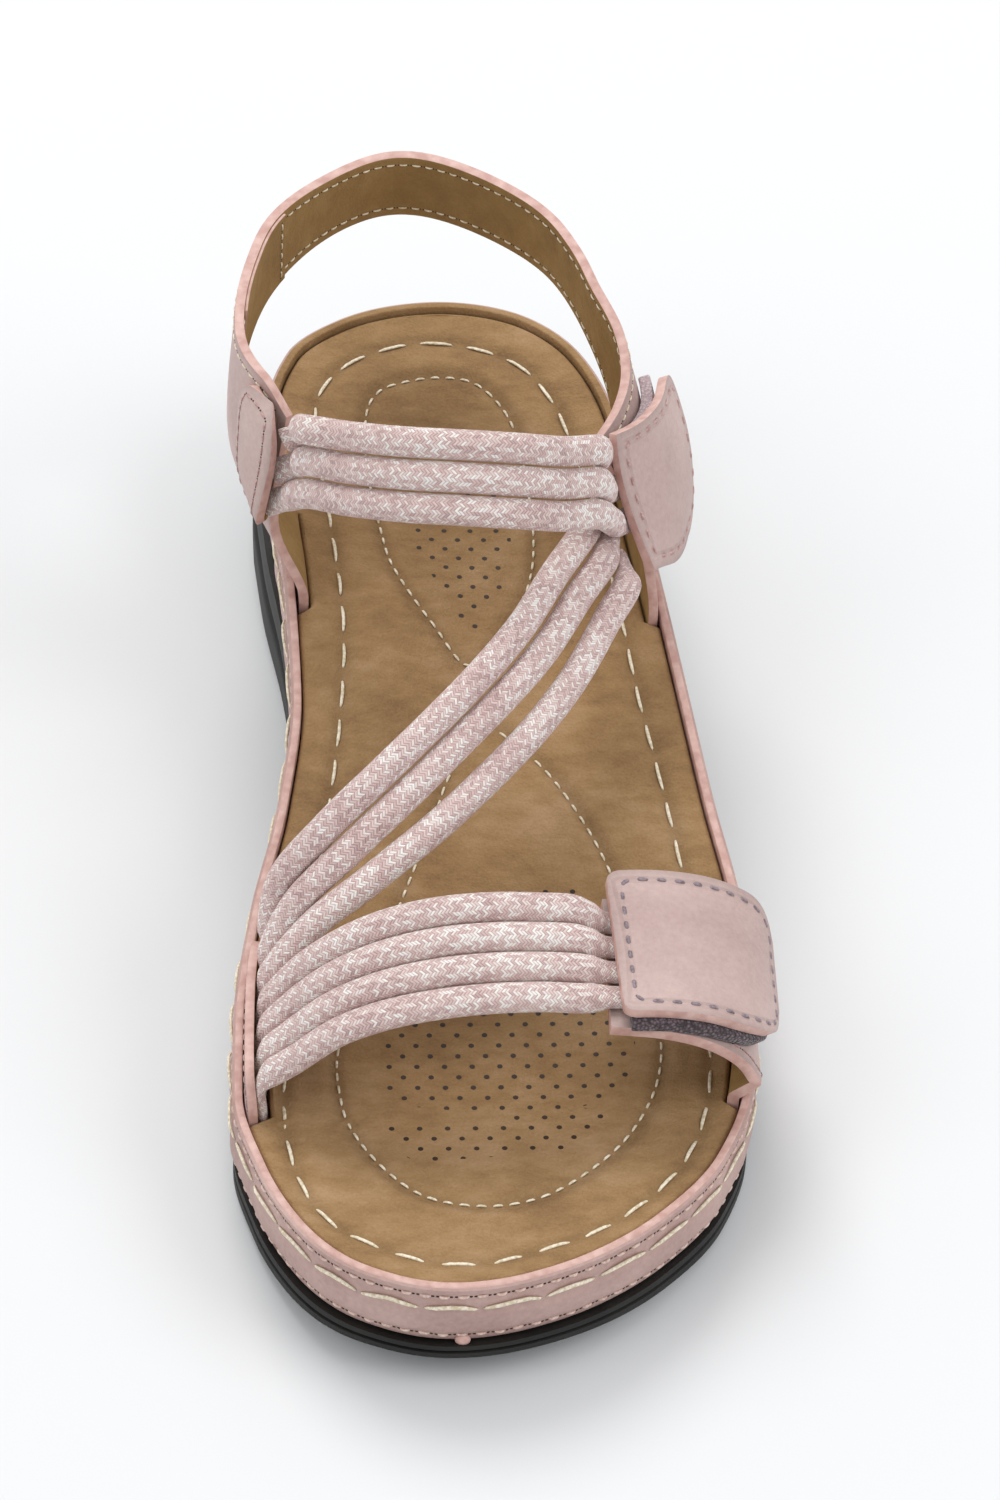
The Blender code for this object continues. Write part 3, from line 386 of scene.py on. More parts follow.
def rim_point(turn, side):
    """Point of the rim's outer edge in plan."""
    medial, lateral = plan_width(turn)
    along = along_at(turn)
    across = lateral if side == LATERAL else -medial
    return Vector((across * BALL_WIDTH, along_to_y(along), 0.0))


@lru_cache(maxsize=None)
def rim_frame(turn, side):
    """Point of the rim's plan and its outward normal."""
    ahead = rim_point(min(turn + TURN_STEP, math.pi), side)
    tangent = ahead - rim_point(max(turn - TURN_STEP, 0.0), side)
    if turn <= 0.0 or turn >= math.pi:
        tangent = Vector((tangent.x, 0.0, 0.0))
    tangent.normalize()
    return rim_point(turn, side), Vector((-tangent.y, tangent.x, 0.0)) * side


def inset_point(turn, side, inset):
    """Point of the rim's plan, moved inwards along the plan's normal."""
    point, outward = rim_frame(turn, side)
    return point - outward * inset


def slot_edges():
    """Along positions of both ends of every slot that a strap enters."""
    return {
        LATERAL: (
            (foot_along(LATERAL_SLOT[0]), foot_along(LATERAL_SLOT[1]), UPPER_WALL),
            (TOE_QUARTER_SPAN[0], TOE_QUARTER_SPAN[1], UPPER_WALL),
        ),
        MEDIAL: (
            (foot_along(MEDIAL_SLOT[0]), foot_along(MEDIAL_SLOT[1]), UPPER_WALL),
            (TOE_STRIP_SPAN[0], TOE_STRIP_SPAN[1], STRIP_WALL + GAP + CORD_END_THICKNESS),
        ),
    }


foot_of_wall = curve_through(range(len(ANKLE_WALL)), [row[0] * row[1] for row in ANKLE_WALL], False)


def foot_along(position):
    return abs(float(foot_of_wall(position)[0]))


def slot_inset(turn, side):
    """Extra room beside the footbed where a strap goes down into the sole."""
    along = along_at(turn)
    for rear, front, wall in slot_edges()[side]:
        room = 1.01 * SLOT_END_ROOM / FOOTBED_LENGTH
        if rear - room <= along <= front + room:
            return wall + 1.5 * GAP
    return 0.0


def flare_at(turn):
    """Outset of the outsole beyond the rand: most at the heel, none at the waist."""
    along = along_at(turn)
    full, none = HEEL_FLARE_SPAN
    heel = max(0.0, min(1.0, (none - along) / (none - full)))
    none, full = TOE_FLARE_SPAN
    toe = max(0.0, min(1.0, (along - none) / (full - none)))
    return HEEL_FLARE * heel + TOE_FLARE * toe


def hump(value, centre, reach):
    """Smooth hill of height 1."""
    return math.exp(-(((value - centre) / reach) ** 2))


def footbed_relief(point, side):
    """Heel cup, arch and shallow forefoot of the footbed, below or above its edge."""
    along = y_to_along(point.y)
    bowl = 1.0 - abs(side) ** BOWL_ROUNDNESS
    ends = min(1.0, BOWL_END_RISE * along, BOWL_END_RISE * (1.0 - along))
    hollow = HEEL_CUP * hump(along, *HEEL_BOWL) + FOREFOOT_DISH * hump(along, *FORE_BOWL)
    arch = ARCH_BUMP * hump(along, *ARCH_PLACE) * hump(side, *ARCH_SIDE)
    return (arch - hollow * ends) * bowl


# Where the middles of the heel and of the toes lie along the shoe
HEEL_MIDDLE = 0.2
TOES_MIDDLE = 0.75

# Lift of the fastener tape's and of a tab's middle above the middle of the leather below
TAPE_LIFT = 0.5 * UPPER_WALL + GAP + 0.5 * TAPE_THICKNESS
TAB_LIFT = 0.5 * UPPER_WALL + GAP + TAPE_THICKNESS + GAP + 0.5 * TAB_WALL

# Lift of a flattened cord end, and inset of the line where a wall stands beside the footbed
CORD_LIFT = 0.5 * UPPER_WALL + GAP + 0.5 * CORD_END_THICKNESS
WALL_FOOT_INSET = RAND_WALL + 1.5 * GAP + 0.5 * UPPER_WALL


def wall_rows():
    """Four points of the ankle wall for each row of its table: slot floor, rim, middle and top."""
    rows = []
    for side, foot, mid_across, mid_along, mid_rise, top_across, top_along, top_rise in ANKLE_WALL:
        base = inset_point(turn_at(foot), side, WALL_FOOT_INSET)
        rim = rim_height(foot)
        sunk = Vector((base.x, base.y, rim - SLOT_DEPTH))
        level = Vector((base.x, base.y, rim + STRAP_LIFT))
        middle = space(mid_across, mid_along, mid_rise)
        top = space(top_across, top_along, top_rise)
        rows.append([*sunk, *level, *middle, *top])
    return rows


wall_section = curve_through(range(len(ANKLE_WALL)), wall_rows(), False)


def ankle_wall(position, level):
    """Middle surface of the wall around heel and ankle."""
    section = wall_section(position)
    if level <= WALL_LEVELS[1]:
        side = LATERAL if foot_of_wall(position)[0] > 0.0 else MEDIAL
        base = inset_point(turn_at(foot_along(position)), side, WALL_FOOT_INSET)
        share = level / WALL_LEVELS[1]
        rim = rim_height(foot_along(position))
        height = rim - SLOT_DEPTH + share * (SLOT_DEPTH + STRAP_LIFT)
        return Vector((base.x, base.y, height))
    upright = curve_through(WALL_LEVELS, section.reshape(4, 3), True)
    return Vector(upright(level))


def surface_normal(surface, u, v, step_u=0.02, step_v=0.01):
    """Normal of a surface, which may point in or out."""
    ahead = surface(u + step_u, v) - surface(u - step_u, v)
    above = surface(u, v + step_v) - surface(u, v - step_v)
    return ahead.cross(above).normalized()


def round_end(share, start, blunt):
    """Half width of a tab along its length, as a share, with rounded corners at its free end."""
    if share <= start:
        return 1.0
    turn = (share - start) / (1.0 - start)
    return blunt + (1.0 - blunt) * math.sqrt(max(0.0, 1.0 - turn * turn))


# Ends of the tabs: the share of the length where the rounding starts, and the half width that is
# left at the end. The toe tab is rounder at the front
ANKLE_TAB_END = (0.72, 0.55)
TOE_TAB_FRONT_END = (0.52, 0.34)
TOE_TAB_REAR_END = (0.74, 0.58)


def on_wall(corners, length_share, width_share):
    """Position and level on the ankle wall of a point in a four-cornered field."""
    near_top, far_top, far_low, near_low = [Vector(corner) for corner in corners]
    top = near_top.lerp(far_top, length_share)
    low = near_low.lerp(far_low, length_share)
    return top.lerp(low, width_share)


def lifted_wall(position, level, lift):
    """Point at a height above the ankle wall's middle surface."""
    outward = surface_normal(ankle_wall, position, level)
    heel_centre = Vector((0.0, along_to_y(HEEL_MIDDLE), 0.0))
    point = ankle_wall(position, level)
    away = point - heel_centre
    if outward.x * away.x + outward.y * away.y < 0.0:
        outward = -outward
    return point + outward * lift


toe_section = curve_through(range(len(TOE_WALL)), TOE_WALL, False)


def toe_wall(along, level):
    """Middle surface of the lateral toe quarter: level 0 is in the slot, 1 over the toes."""
    if level <= TOE_SLOT_SHARE:
        base = inset_point(turn_at(along), LATERAL, WALL_FOOT_INSET)
        share = level / TOE_SLOT_SHARE
        height = rim_height(along) - SLOT_DEPTH + share * (SLOT_DEPTH + STRAP_LIFT)
        return Vector((base.x, base.y, height))
    position = (level - TOE_SLOT_SHARE) / (1.0 - TOE_SLOT_SHARE) * len(TOE_WALL) - 1.0
    if position >= 0.0:
        across, rise = toe_section(position)
        return space(across, along, rise)
    base = inset_point(turn_at(along), LATERAL, WALL_FOOT_INSET)
    start = Vector((base.x, base.y, rim_height(along) + STRAP_LIFT))
    across, rise = toe_section(0.0)
    return start.lerp(space(across, along, rise), position + 1.0)


def lifted_toe_wall(along, level, lift):
    """Point at a height above the toe quarter's middle surface."""
    outward = surface_normal(toe_wall, along, level, 0.005, 0.02)
    if outward.z + outward.x < 0.0:
        outward = -outward
    return toe_wall(along, level) + outward * lift


def width_direction(slope_degrees):
    slope = math.radians(slope_degrees)
    return Vector((0.0, -math.cos(slope), -math.sin(slope)))


def across_lines(path, slopes):
    """Direction of a band's width at each point of its path, square to the path."""
    lines = []
    for index, slope in enumerate(slopes):
        tangent = path[min(index + 1, len(path) - 1)] - path[max(index - 1, 0)]
        tangent.normalize()
        wide = width_direction(slope)
        lines.append((wide - tangent * wide.dot(tangent)).normalized())
    return lines


def tab_edge_points(share, lift):
    """Two points where a cord end lies under the front edge of the ankle tab."""
    top, low = [Vector(corner) for corner in (ANKLE_TAB_CORNERS[0], ANKLE_TAB_CORNERS[3])]
    tab_top = ankle_wall(*ANKLE_TAB_CORNERS[0])
    tab_rear = ankle_wall(*ANKLE_TAB_CORNERS[1])
    tuck_share = TAB_TUCK / (tab_rear - tab_top).length
    points = [
        lifted_wall(*on_wall(ANKLE_TAB_CORNERS, length_share, share), lift)
        for length_share in (tuck_share, 0.0)
    ]
    down = lifted_wall(*top.lerp(low, share + 0.05), lift) - points[1]
    return points, down.normalized()


def tab_edge_length():
    return (ankle_wall(*ANKLE_TAB_CORNERS[3]) - ankle_wall(*ANKLE_TAB_CORNERS[0])).length


# How far behind the patch's front edge a cord goes in, in rows of the wall, and how much lower it
# lies there and at its end, as shares of the wall's height
PATCH_ENTRY = (0.10, 0.02)
PATCH_END_DROP = 0.10


def patch_points(level):
    """Two points where a cord end lies under the medial patch."""
    back, drop = PATCH_ENTRY
    front = ANKLE_PATCH_CORNERS[3][0]
    here = ankle_wall(front, level)
    rate = (here - ankle_wall(front - 0.1, level)).length / 0.1
    points = [
        lifted_wall(front - back, level - drop, CORD_LIFT - 0.5 * EDGE_CLEARANCE),
        lifted_wall(front - PATCH_TUCK / rate, level - PATCH_END_DROP, CORD_LIFT),
    ]
    down = ankle_wall(front, level - 0.02) - ankle_wall(front, level + 0.02)
    return points, down.normalized(), down.length / 0.04


def seam_points(number):
    """Last points of a cord that goes down inside the medial strip, rear cord first."""
    along = SEAM_REAR + (number + 0.5) * CORD_END_PITCH / FOOTBED_LENGTH
    inset = RAND_WALL + GAP + STRIP_WALL + GAP + 0.5 * CORD_END_THICKNESS
    base = inset_point(turn_at(along), MEDIAL, inset)
    low = rim_height(along) - SEAM_TUCK
    return [Vector((base.x, base.y, low + SEAM_DEPTH)), Vector((base.x, base.y, low))]


FORWARD = Vector((0.0, -1.0, 0.0))


def make_instep_cords():
    """Cords over the instep, from the ankle tab to the medial patch."""
    middle = [space(*row[:3]) for row in INSTEP_LINE]
    lines = across_lines(middle, [row[3] for row in INSTEP_LINE])
    level_rate = patch_points(INSTEP_END_LEVEL)[2]
    for number in range(INSTEP_CORDS):
        step = number - 0.5 * (INSTEP_CORDS - 1)
        share = INSTEP_TAB_SHARE + step * END_SPREAD * CORD_PITCH / tab_edge_length()
        tab_points, tab_down = tab_edge_points(share, CORD_LIFT)
        level = INSTEP_END_LEVEL - step * MEDIAL_END_SPREAD * CORD_PITCH / level_rate
        end_points, end_down, _ = patch_points(level)
        path = [point + line * step * CORD_PITCH for point, line in zip(middle, lines)]
        path = tab_points + path + end_points
        widths = [tab_down, tab_down] + lines + [end_down, end_down]
        tucks = (TAB_TUCK + EDGE_CLEARANCE, PATCH_TUCK + EDGE_CLEARANCE)
        cord(f"instep_cord_{number + 1}", path, widths, tucks)


def make_toe_cords():
    """Cords over the toes, from the toe tab into the medial seam."""
    middle = [space(*row[:3]) for row in TOE_LINE]
    lines = across_lines(middle, [row[3] for row in TOE_LINE])
    rate = (toe_wall(TOE_END_ALONG, 1.0) - toe_wall(TOE_END_ALONG, 0.9)).length / 0.1
    for number in range(TOE_CORDS):
        step = number - 0.5 * (TOE_CORDS - 1)
        along = TOE_END_ALONG + step * CORD_PITCH / FOOTBED_LENGTH
        path = [
            lifted_toe_wall(along, TOE_TAB_REACH[0] - TAB_TUCK / rate, CORD_LIFT),
            lifted_toe_wall(along, TOE_TAB_REACH[0], CORD_LIFT),
        ]
        path += [point + line * step * CORD_PITCH for point, line in zip(middle, lines)]
        path += seam_points(DIAGONAL_CORDS + number)
        widths = [FORWARD, FORWARD] + lines + [FORWARD, FORWARD]
        cord(f"toe_cord_{number + 1}", path, widths, (TAB_TUCK, SEAM_DEPTH))


def make_diagonal_cords():
    """Cords from under the instep cords at the ankle tab across to the medial seam."""
    rear = [space(*row[:3]) for row in DIAGONAL_LINE]
    lines = across_lines(rear, [row[3] for row in DIAGONAL_LINE])
    under = CORD_LIFT - CORD_END_THICKNESS - GAP
    for number in range(DIAGONAL_CORDS):
        tab_points, tab_down = tab_edge_points(DIAGONAL_TAB_SHARES[number], under)
        path = tab_points[1:]
        for point, line, row in zip(rear, lines, DIAGONAL_LINE):
            steps = sum(row[4:4 + number])
            path.append(point + line * steps * CORD_PITCH)
        path += seam_points(number)
        widths = [tab_down] + lines + [FORWARD, FORWARD]
        cord(f"diagonal_cord_{number + 1}", path, widths, (TAB_TUCK, SEAM_DEPTH))


# The same stations are asked for again and again, so their values are remembered
plan_width = lru_cache(maxsize=None)(plan_width)
side_share = lru_cache(maxsize=None)(side_share)
ankle_wall = lru_cache(maxsize=None)(ankle_wall)

scene = bpy.context.scene

# Where the camera of the photo stood, in the shoe's own frame, and how it looked: down, turned to
# the lateral side, through a lens of so many pixels a radian on the 1000 x 1500 image. The shoe's
# centre is off to the right there. The picture is framed on it, and closer
EYE = Vector((-0.0562, -0.93695, 0.9226))
VIEW_DOWN = math.radians(46.0)
VIEW_TURN = math.radians(0.6)
PIXELS_PER_RADIAN = 5214.0
SHOE_CENTRE_PIXEL = (733.5, 776.5)
IMAGE_CENTRE_PIXEL = (500.0, 750.0)
CLOSER = 1.22
SENSOR_HEIGHT = 36.0

# Stitching: length of a stitch, its pitch, thickness and depth
EDGE_STITCH = (0.0019, 0.0026, 0.00045)
TAB_STITCH = (0.0028, 0.0037, 0.00080)
RAND_STITCH = (0.0024, 0.0035, 0.00080)
SEAM_STITCH = (0.0022, 0.0031, 0.00055)
WELT_STITCH = (0.0118, 0.0116, 0.0010)
BED_STITCH = (0.0070, 0.0092, 0.00075)


def linear(hexcode):
    """sRGB hex to linear colour."""
    shares = [int(hexcode[start:start + 2], 16) / 255.0 for start in (1, 3, 5)]
    bent = [s / 12.92 if s <= 0.04045 else ((s + 0.055) / 1.055) ** 2.4 for s in shares]
    return (*bent, 1.0)


def add(tree, kind, inputs=None, stops=None, out=0, **settings):
    """Adds a node with its settings and gives its output. An input takes a value or an output."""
    made = tree.nodes.new("ShaderNode" + kind)
    for key, value in settings.items():
        setattr(made, key, value)
    for key, value in (inputs or {}).items():
        if isinstance(value, bpy.types.NodeSocket):
            tree.links.new(value, made.inputs[key])
        else:
            made.inputs[key].default_value = value
    if stops:
        elements = made.color_ramp.elements
        while len(elements) < len(stops):
            elements.new(0.5)
        for element, (place, colour) in zip(elements, stops):
            element.position = place
            grey = not isinstance(colour, str)
            element.color = (colour, colour, colour, 1.0) if grey else linear(colour)
    return made.outputs[out]


def start_material(name, roughness, **sockets):
    """New material with its constants set on the shader."""
    material = bpy.data.materials.new(name)
    material.use_nodes = True
    inputs = material.node_tree.nodes["Principled BSDF"].inputs
    inputs["Roughness"].default_value = roughness
    for key, value in sockets.items():
        inputs[key.replace("_", " ")].default_value = value
    return material, material.node_tree


def dress(material, **outputs):
    """Links a material's patterns to the shader."""
    tree = material.node_tree
    for key, output in outputs.items():
        tree.links.new(output, tree.nodes["Principled BSDF"].inputs[key.replace("_", " ")])
    return material


def leather(name, dark, middle, light, grain_depth=0.00005, seam=None):
    """Dyed smooth leather, finished with a soft wax: fine pebble grain, faint cloudy dye, low
    sheen. A seam presses a line into it, at a share of the way in from the edge."""
    pebble_size, roughness = 0.0009, 0.52
    material, tree = start_material(name, roughness, Specular_IOR_Level=0.42)
    place = add(tree, "TexCoord", out="Object")
    cloud = add(tree, "TexNoise", {"Vector": place, "Scale": 45.0, "Detail": 3.0})
    fleck = add(tree, "TexNoise", {"Vector": place, "Scale": 900.0, "Detail": 2.0})
    blend = add(tree, "Math", {0: cloud, 1: 0.72}, operation="MULTIPLY")
    blend = add(tree, "Math", {0: fleck, 1: 0.28, 2: blend}, operation="MULTIPLY_ADD")
    dye = add(tree, "ValToRGB", {"Fac": blend}, ((0.30, dark), (0.52, middle), (0.74, light)))
    margin = add(tree, "Attribute", out="Fac", attribute_name="margin")
    # The colour darkens to 0.8 in a narrow band along the sheet's edges
    edge_darkening = add(tree, "ValToRGB", {"Fac": margin}, ((0.0, 0.80), (0.16, 1.0), (1.0, 1.0)))
    dye = add(tree, "Mix", {0: 1.0, 6: dye, 7: edge_darkening}, out=2, data_type="RGBA",
              blend_type="MULTIPLY")
    pebble = add(tree, "TexVoronoi", {"Vector": place, "Scale": 1.0 / pebble_size,
                                      "Randomness": 1.0}, out="Distance",
                 feature="DISTANCE_TO_EDGE")
    pebble = add(tree, "ValToRGB", {"Fac": pebble}, ((0.0, 0.0), (0.16, 1.0)))
    bump = add(tree, "Bump", {"Height": pebble, "Distance": grain_depth, "Strength": 0.55})
    crease = add(tree, "TexNoise", {"Vector": place, "Scale": 160.0, "Detail": 4.0})
    bump = add(tree, "Bump", {"Height": crease, "Distance": 0.0006, "Strength": 0.35,
                              "Normal": bump})
    if seam:
        dip = add(tree, "ValToRGB", {"Fac": margin},
                  ((seam - 0.07, 1.0), (seam, 0.0), (seam + 0.07, 1.0)))
        bump = add(tree, "Bump", {"Height": dip, "Distance": 0.0005, "Strength": 0.8,
                                  "Normal": bump})
    gloss = add(tree, "MapRange", {0: cloud, 3: roughness - 0.07, 4: roughness + 0.09})
    return dress(material, Base_Color=dye, Normal=bump, Roughness=gloss)


def raw_edge(name, dark, light):
    """Cut edge of leather, sealed with a peach edge paint: smooth, a little uneven."""
    material, tree = start_material(name, 0.55)
    place = add(tree, "TexCoord", out="Object")
    uneven = add(tree, "TexNoise", {"Vector": place, "Scale": 420.0, "Detail": 3.0})
    paint = add(tree, "ValToRGB", {"Fac": uneven}, ((0.35, dark), (0.65, light)))
    bump = add(tree, "Bump", {"Height": uneven, "Distance": 0.0003, "Strength": 0.5})
    return dress(material, Base_Color=paint, Normal=bump)


def suede(name, dark, middle, light, nap=0.6):
    """Suede: leather buffed on its flesh side. Soft nap, matt, with brushed lighter and darker
    marks, and painted shade in the grooves of its seams."""
    material, tree = start_material(name, 0.88, Specular_IOR_Level=0.25, Sheen_Weight=0.25,
                                    Sheen_Roughness=0.5, Sheen_Tint=linear(light))
    place = add(tree, "TexCoord", out="Object")
    cloud = add(tree, "TexNoise", {"Vector": place, "Scale": 38.0, "Detail": 5.0, "Roughness": 0.6})
    turned = add(tree, "Mapping", {"Vector": place, "Rotation": (0.0, 0.0, 0.7),
                                   "Scale": (1.0, 2.2, 1.0)})
    brush = add(tree, "TexNoise", {"Vector": turned, "Scale": 150.0, "Detail": 6.0,
                                   "Roughness": 0.62})
    fibre = add(tree, "TexNoise", {"Vector": place, "Scale": 1900.0, "Detail": 2.0})
    blend = add(tree, "Math", {0: brush, 1: 0.34}, operation="MULTIPLY")
    blend = add(tree, "Math", {0: cloud, 1: 0.50, 2: blend}, operation="MULTIPLY_ADD")
    blend = add(tree, "Math", {0: fibre, 1: 0.16, 2: blend}, operation="MULTIPLY_ADD")
    dye = add(tree, "ValToRGB", {"Fac": blend}, ((0.33, dark), (0.50, middle), (0.68, light)))
    # Painted shade: the colour is darkened in the seams' grooves
    groove = add(tree, "Attribute", out="Fac", attribute_name="groove")
    shade = add(tree, "ValToRGB", {"Fac": groove}, ((0.0, 1.0), (1.0, 0.80)))
    dye = add(tree, "Mix", {0: 1.0, 6: dye, 7: shade}, out=2, data_type="RGBA",
              blend_type="MULTIPLY")
    fuzz = add(tree, "Math", {0: brush, 1: fibre}, operation="ADD")
    bump = add(tree, "Bump", {"Height": fuzz, "Distance": 0.00035, "Strength": nap})
    return dress(material, Base_Color=dye, Normal=bump)


def elastic(name):
    """Braided elastic cord: pink and silver yarns over rubber, in slanted ribs that meet in a V.
    The map "lie" runs along the cord in metres and once round it."""
    rib_width, columns_round = 0.00066, 24.0
    material, tree = start_material(name, 0.62, Specular_IOR_Level=0.5, Sheen_Weight=0.3,
                                    Sheen_Tint=linear("#F5E6E4"))
    flat = add(tree, "UVMap", uv_map="lie")
    along = add(tree, "SeparateXYZ", {"Vector": flat})
    around = along.node.outputs["Y"]
    turn = add(tree, "Math", {0: around, 1: columns_round}, operation="MULTIPLY")
    slant = add(tree, "Math", {0: turn, 1: 1.0}, operation="PINGPONG")
    count = add(tree, "Math", {0: along, 1: 1.0 / rib_width, 2: slant}, operation="MULTIPLY_ADD")
    within = add(tree, "Math", {0: count}, operation="FRACT")
    ridge = add(tree, "Math", {0: within, 1: 0.5}, operation="PINGPONG")
    height = add(tree, "ValToRGB", {"Fac": ridge}, ((0.0, 0.0), (0.22, 0.8), (0.5, 1.0)))
    number = add(tree, "Math", {0: count}, operation="FLOOR")
    column = add(tree, "Math", {0: turn}, operation="FLOOR")
    yarn = add(tree, "CombineXYZ", {"X": number, "Y": column})
    chance = add(tree, "TexWhiteNoise", {"Vector": yarn}, noise_dimensions="2D")
    place = add(tree, "TexCoord", out="Object")
    patch = add(tree, "TexNoise", {"Vector": place, "Scale": 75.0, "Detail": 3.0})
    chance = add(tree, "Math", {0: chance, 1: 0.48}, operation="MULTIPLY")
    chance = add(tree, "Math", {0: patch, 1: 0.52, 2: chance}, operation="MULTIPLY_ADD")
    dye = add(tree, "ValToRGB", {"Fac": chance}, ((0.20, "#B89996"), (0.38, "#D3B5B1"),
                                                  (0.56, "#DFC6C1"), (0.72, "#F4EDE8")))
    # Painted shade: the colour darkens in the valleys between the ribs
    gap = add(tree, "ValToRGB", {"Fac": ridge}, ((0.0, 0.52), (0.20, 1.0)))
    dye = add(tree, "Mix", {0: 0.85, 6: dye, 7: gap}, out=2, data_type="RGBA",
              blend_type="MULTIPLY")
    bump = add(tree, "Bump", {"Height": height, "Distance": 0.00020, "Strength": 0.7})
    fibre = add(tree, "TexNoise", {"Vector": place, "Scale": 2200.0})
    bump = add(tree, "Bump", {"Height": fibre, "Distance": 0.00012, "Strength": 0.5,
                              "Normal": bump})
    return dress(material, Base_Color=dye, Normal=bump)


def rubber(name, dark, light):
    """Moulded black rubber: matt, fine spark-eroded texture, a trace of dust grey."""
    material, tree = start_material(name, 0.58, Specular_IOR_Level=0.4)
    place = add(tree, "TexCoord", out="Object")
    cloud = add(tree, "TexNoise", {"Vector": place, "Scale": 60.0, "Detail": 4.0})
    dye = add(tree, "ValToRGB", {"Fac": cloud}, ((0.35, dark), (0.70, light)))
    spark = add(tree, "TexNoise", {"Vector": place, "Scale": 1500.0, "Detail": 2.0})
    bump = add(tree, "Bump", {"Height": spark, "Distance": 0.0002, "Strength": 0.4})
    return dress(material, Base_Color=dye, Normal=bump)


def tape(name, dark, light):
    """Woven hook-and-loop tape: a nap of tiny nylon loops, matt and sparkling only a little."""
    material, tree = start_material(name, 0.9, Sheen_Weight=0.4, Sheen_Roughness=0.4)
    place = add(tree, "TexCoord", out="Object")
    loops = add(tree, "TexVoronoi", {"Vector": place, "Scale": 1500.0}, out="Distance")
    # Painted shade: the colour is light on the tops of the loops and dark between them, where they
    # shade each other
    dye = add(tree, "ValToRGB", {"Fac": loops}, ((0.10, light), (0.60, dark)))
    bump = add(tree, "Bump", {"Height": loops, "Distance": 0.0004, "Strength": 0.9}, invert=True)
    return dress(material, Base_Color=dye, Normal=bump)


def thread(name, dark, light):
    """Waxed polyester sewing thread, two-ply: soft gleam, faint twist."""
    material, tree = start_material(name, 0.5, Specular_IOR_Level=0.5)
    place = add(tree, "TexCoord", out="Object")
    ply = add(tree, "TexNoise", {"Vector": place, "Scale": 1400.0})
    dye = add(tree, "ValToRGB", {"Fac": ply}, ((0.35, dark), (0.62, light)))
    return dress(material, Base_Color=dye)


# The sandal's own finishes, and a dark painted shade for its holes. Dark and light are how far each
# colour wanders; on the tapes the dark one is painted shade between the loops
PINK = leather("dusty_pink_leather", "#AF948F", "#C0A6A0", "#CEB6AF")
TAB_PINK = leather("tab_pink_leather", "#AF948F", "#C0A6A0", "#CEB6AF", seam=0.20)
RAND_PINK = leather("rand_pink_leather", "#A5857E", "#BA9B93", "#CBAFA6", grain_depth=0.00004)
LINING = suede("tan_lining", "#7C5F3D", "#957649", "#A98A5C", nap=0.35)
EDGE = raw_edge("peach_edge_paint", "#C1978D", "#D8B4AA")
FOOTBED_SUEDE = suede("tan_footbed_suede", "#7C5E40", "#9B7B54", "#B39370")
ELASTIC = elastic("braided_elastic")
BLACK_RUBBER = rubber("black_rubber", "#0D0D0B", "#201F1B")
HOOK = tape("hook_tape", "#3B3135", "#7D6A72")
LOOP = tape("loop_tape", "#B8A4A8", "#DACACC")
CREAM = thread("cream_thread", "#CFC1A0", "#F4EAD6")
MAUVE = thread("mauve_thread", "#6E5F66", "#94858C")
ROSE = thread("rose_thread", "#A5807B", "#C9A7A1")
BLUSH = thread("blush_thread", "#C3A297", "#E2CABD")
# Painted shade: a dark finish for the flat discs and shallow dents that stand in for the shade
# inside holes; it uses the rubber recipe only for its matt dark look
HOLE_SHADOW = rubber("hole_shadow", "#2B190D", "#3D2817")


def keep(name, mesh, materials, nodes=(), smooth_degrees=50.0):
    """Finished mesh becomes a piece that rides on the shoe."""
    data = bpy.data.meshes.new(name)
    mesh.to_mesh(data)
    mesh.free()
    data.shade_smooth()
    if smooth_degrees:
        data.set_sharp_from_angle(angle=math.radians(smooth_degrees))
    for material in materials:
        data.materials.append(material)
    piece = bpy.data.objects.new(name, data)
    scene.collection.objects.link(piece)
    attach(piece, "root")
    if nodes:
        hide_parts(*nodes)
    return piece


def laid_grid(across, along, place):
    """Flat grid laid onto a surface by place(u, v). Gives the mesh, and its vertices by column and
    row."""
    mesh = bmesh.new()
    mesh.verts.layers.float.new("margin")
    mesh.verts.layers.float.new("groove")
    mesh.loops.layers.uv.new("lie")
    bmesh.ops.create_grid(mesh, x_segments=across, y_segments=along, size=0.5)
    spots = {}
    for vertex in mesh.verts:
        u, v = vertex.co.x + 0.5, vertex.co.y + 0.5
        spots[round(u * across), round(v * along)] = vertex
        vertex.co = place(u, v)
    return mesh, spots


def wound(mesh):
    """Sews the seam and the poles of a laid grid and turns its faces outwards."""
    bmesh.ops.remove_doubles(mesh, verts=mesh.verts, dist=1e-6)
    bmesh.ops.dissolve_degenerate(mesh, edges=mesh.edges, dist=1e-7)
    bmesh.ops.recalc_face_normals(mesh, faces=mesh.faces)


# Width of the band along an edge in which the leather darkens towards the edge and a seam is
# pressed
MARGIN = 0.012


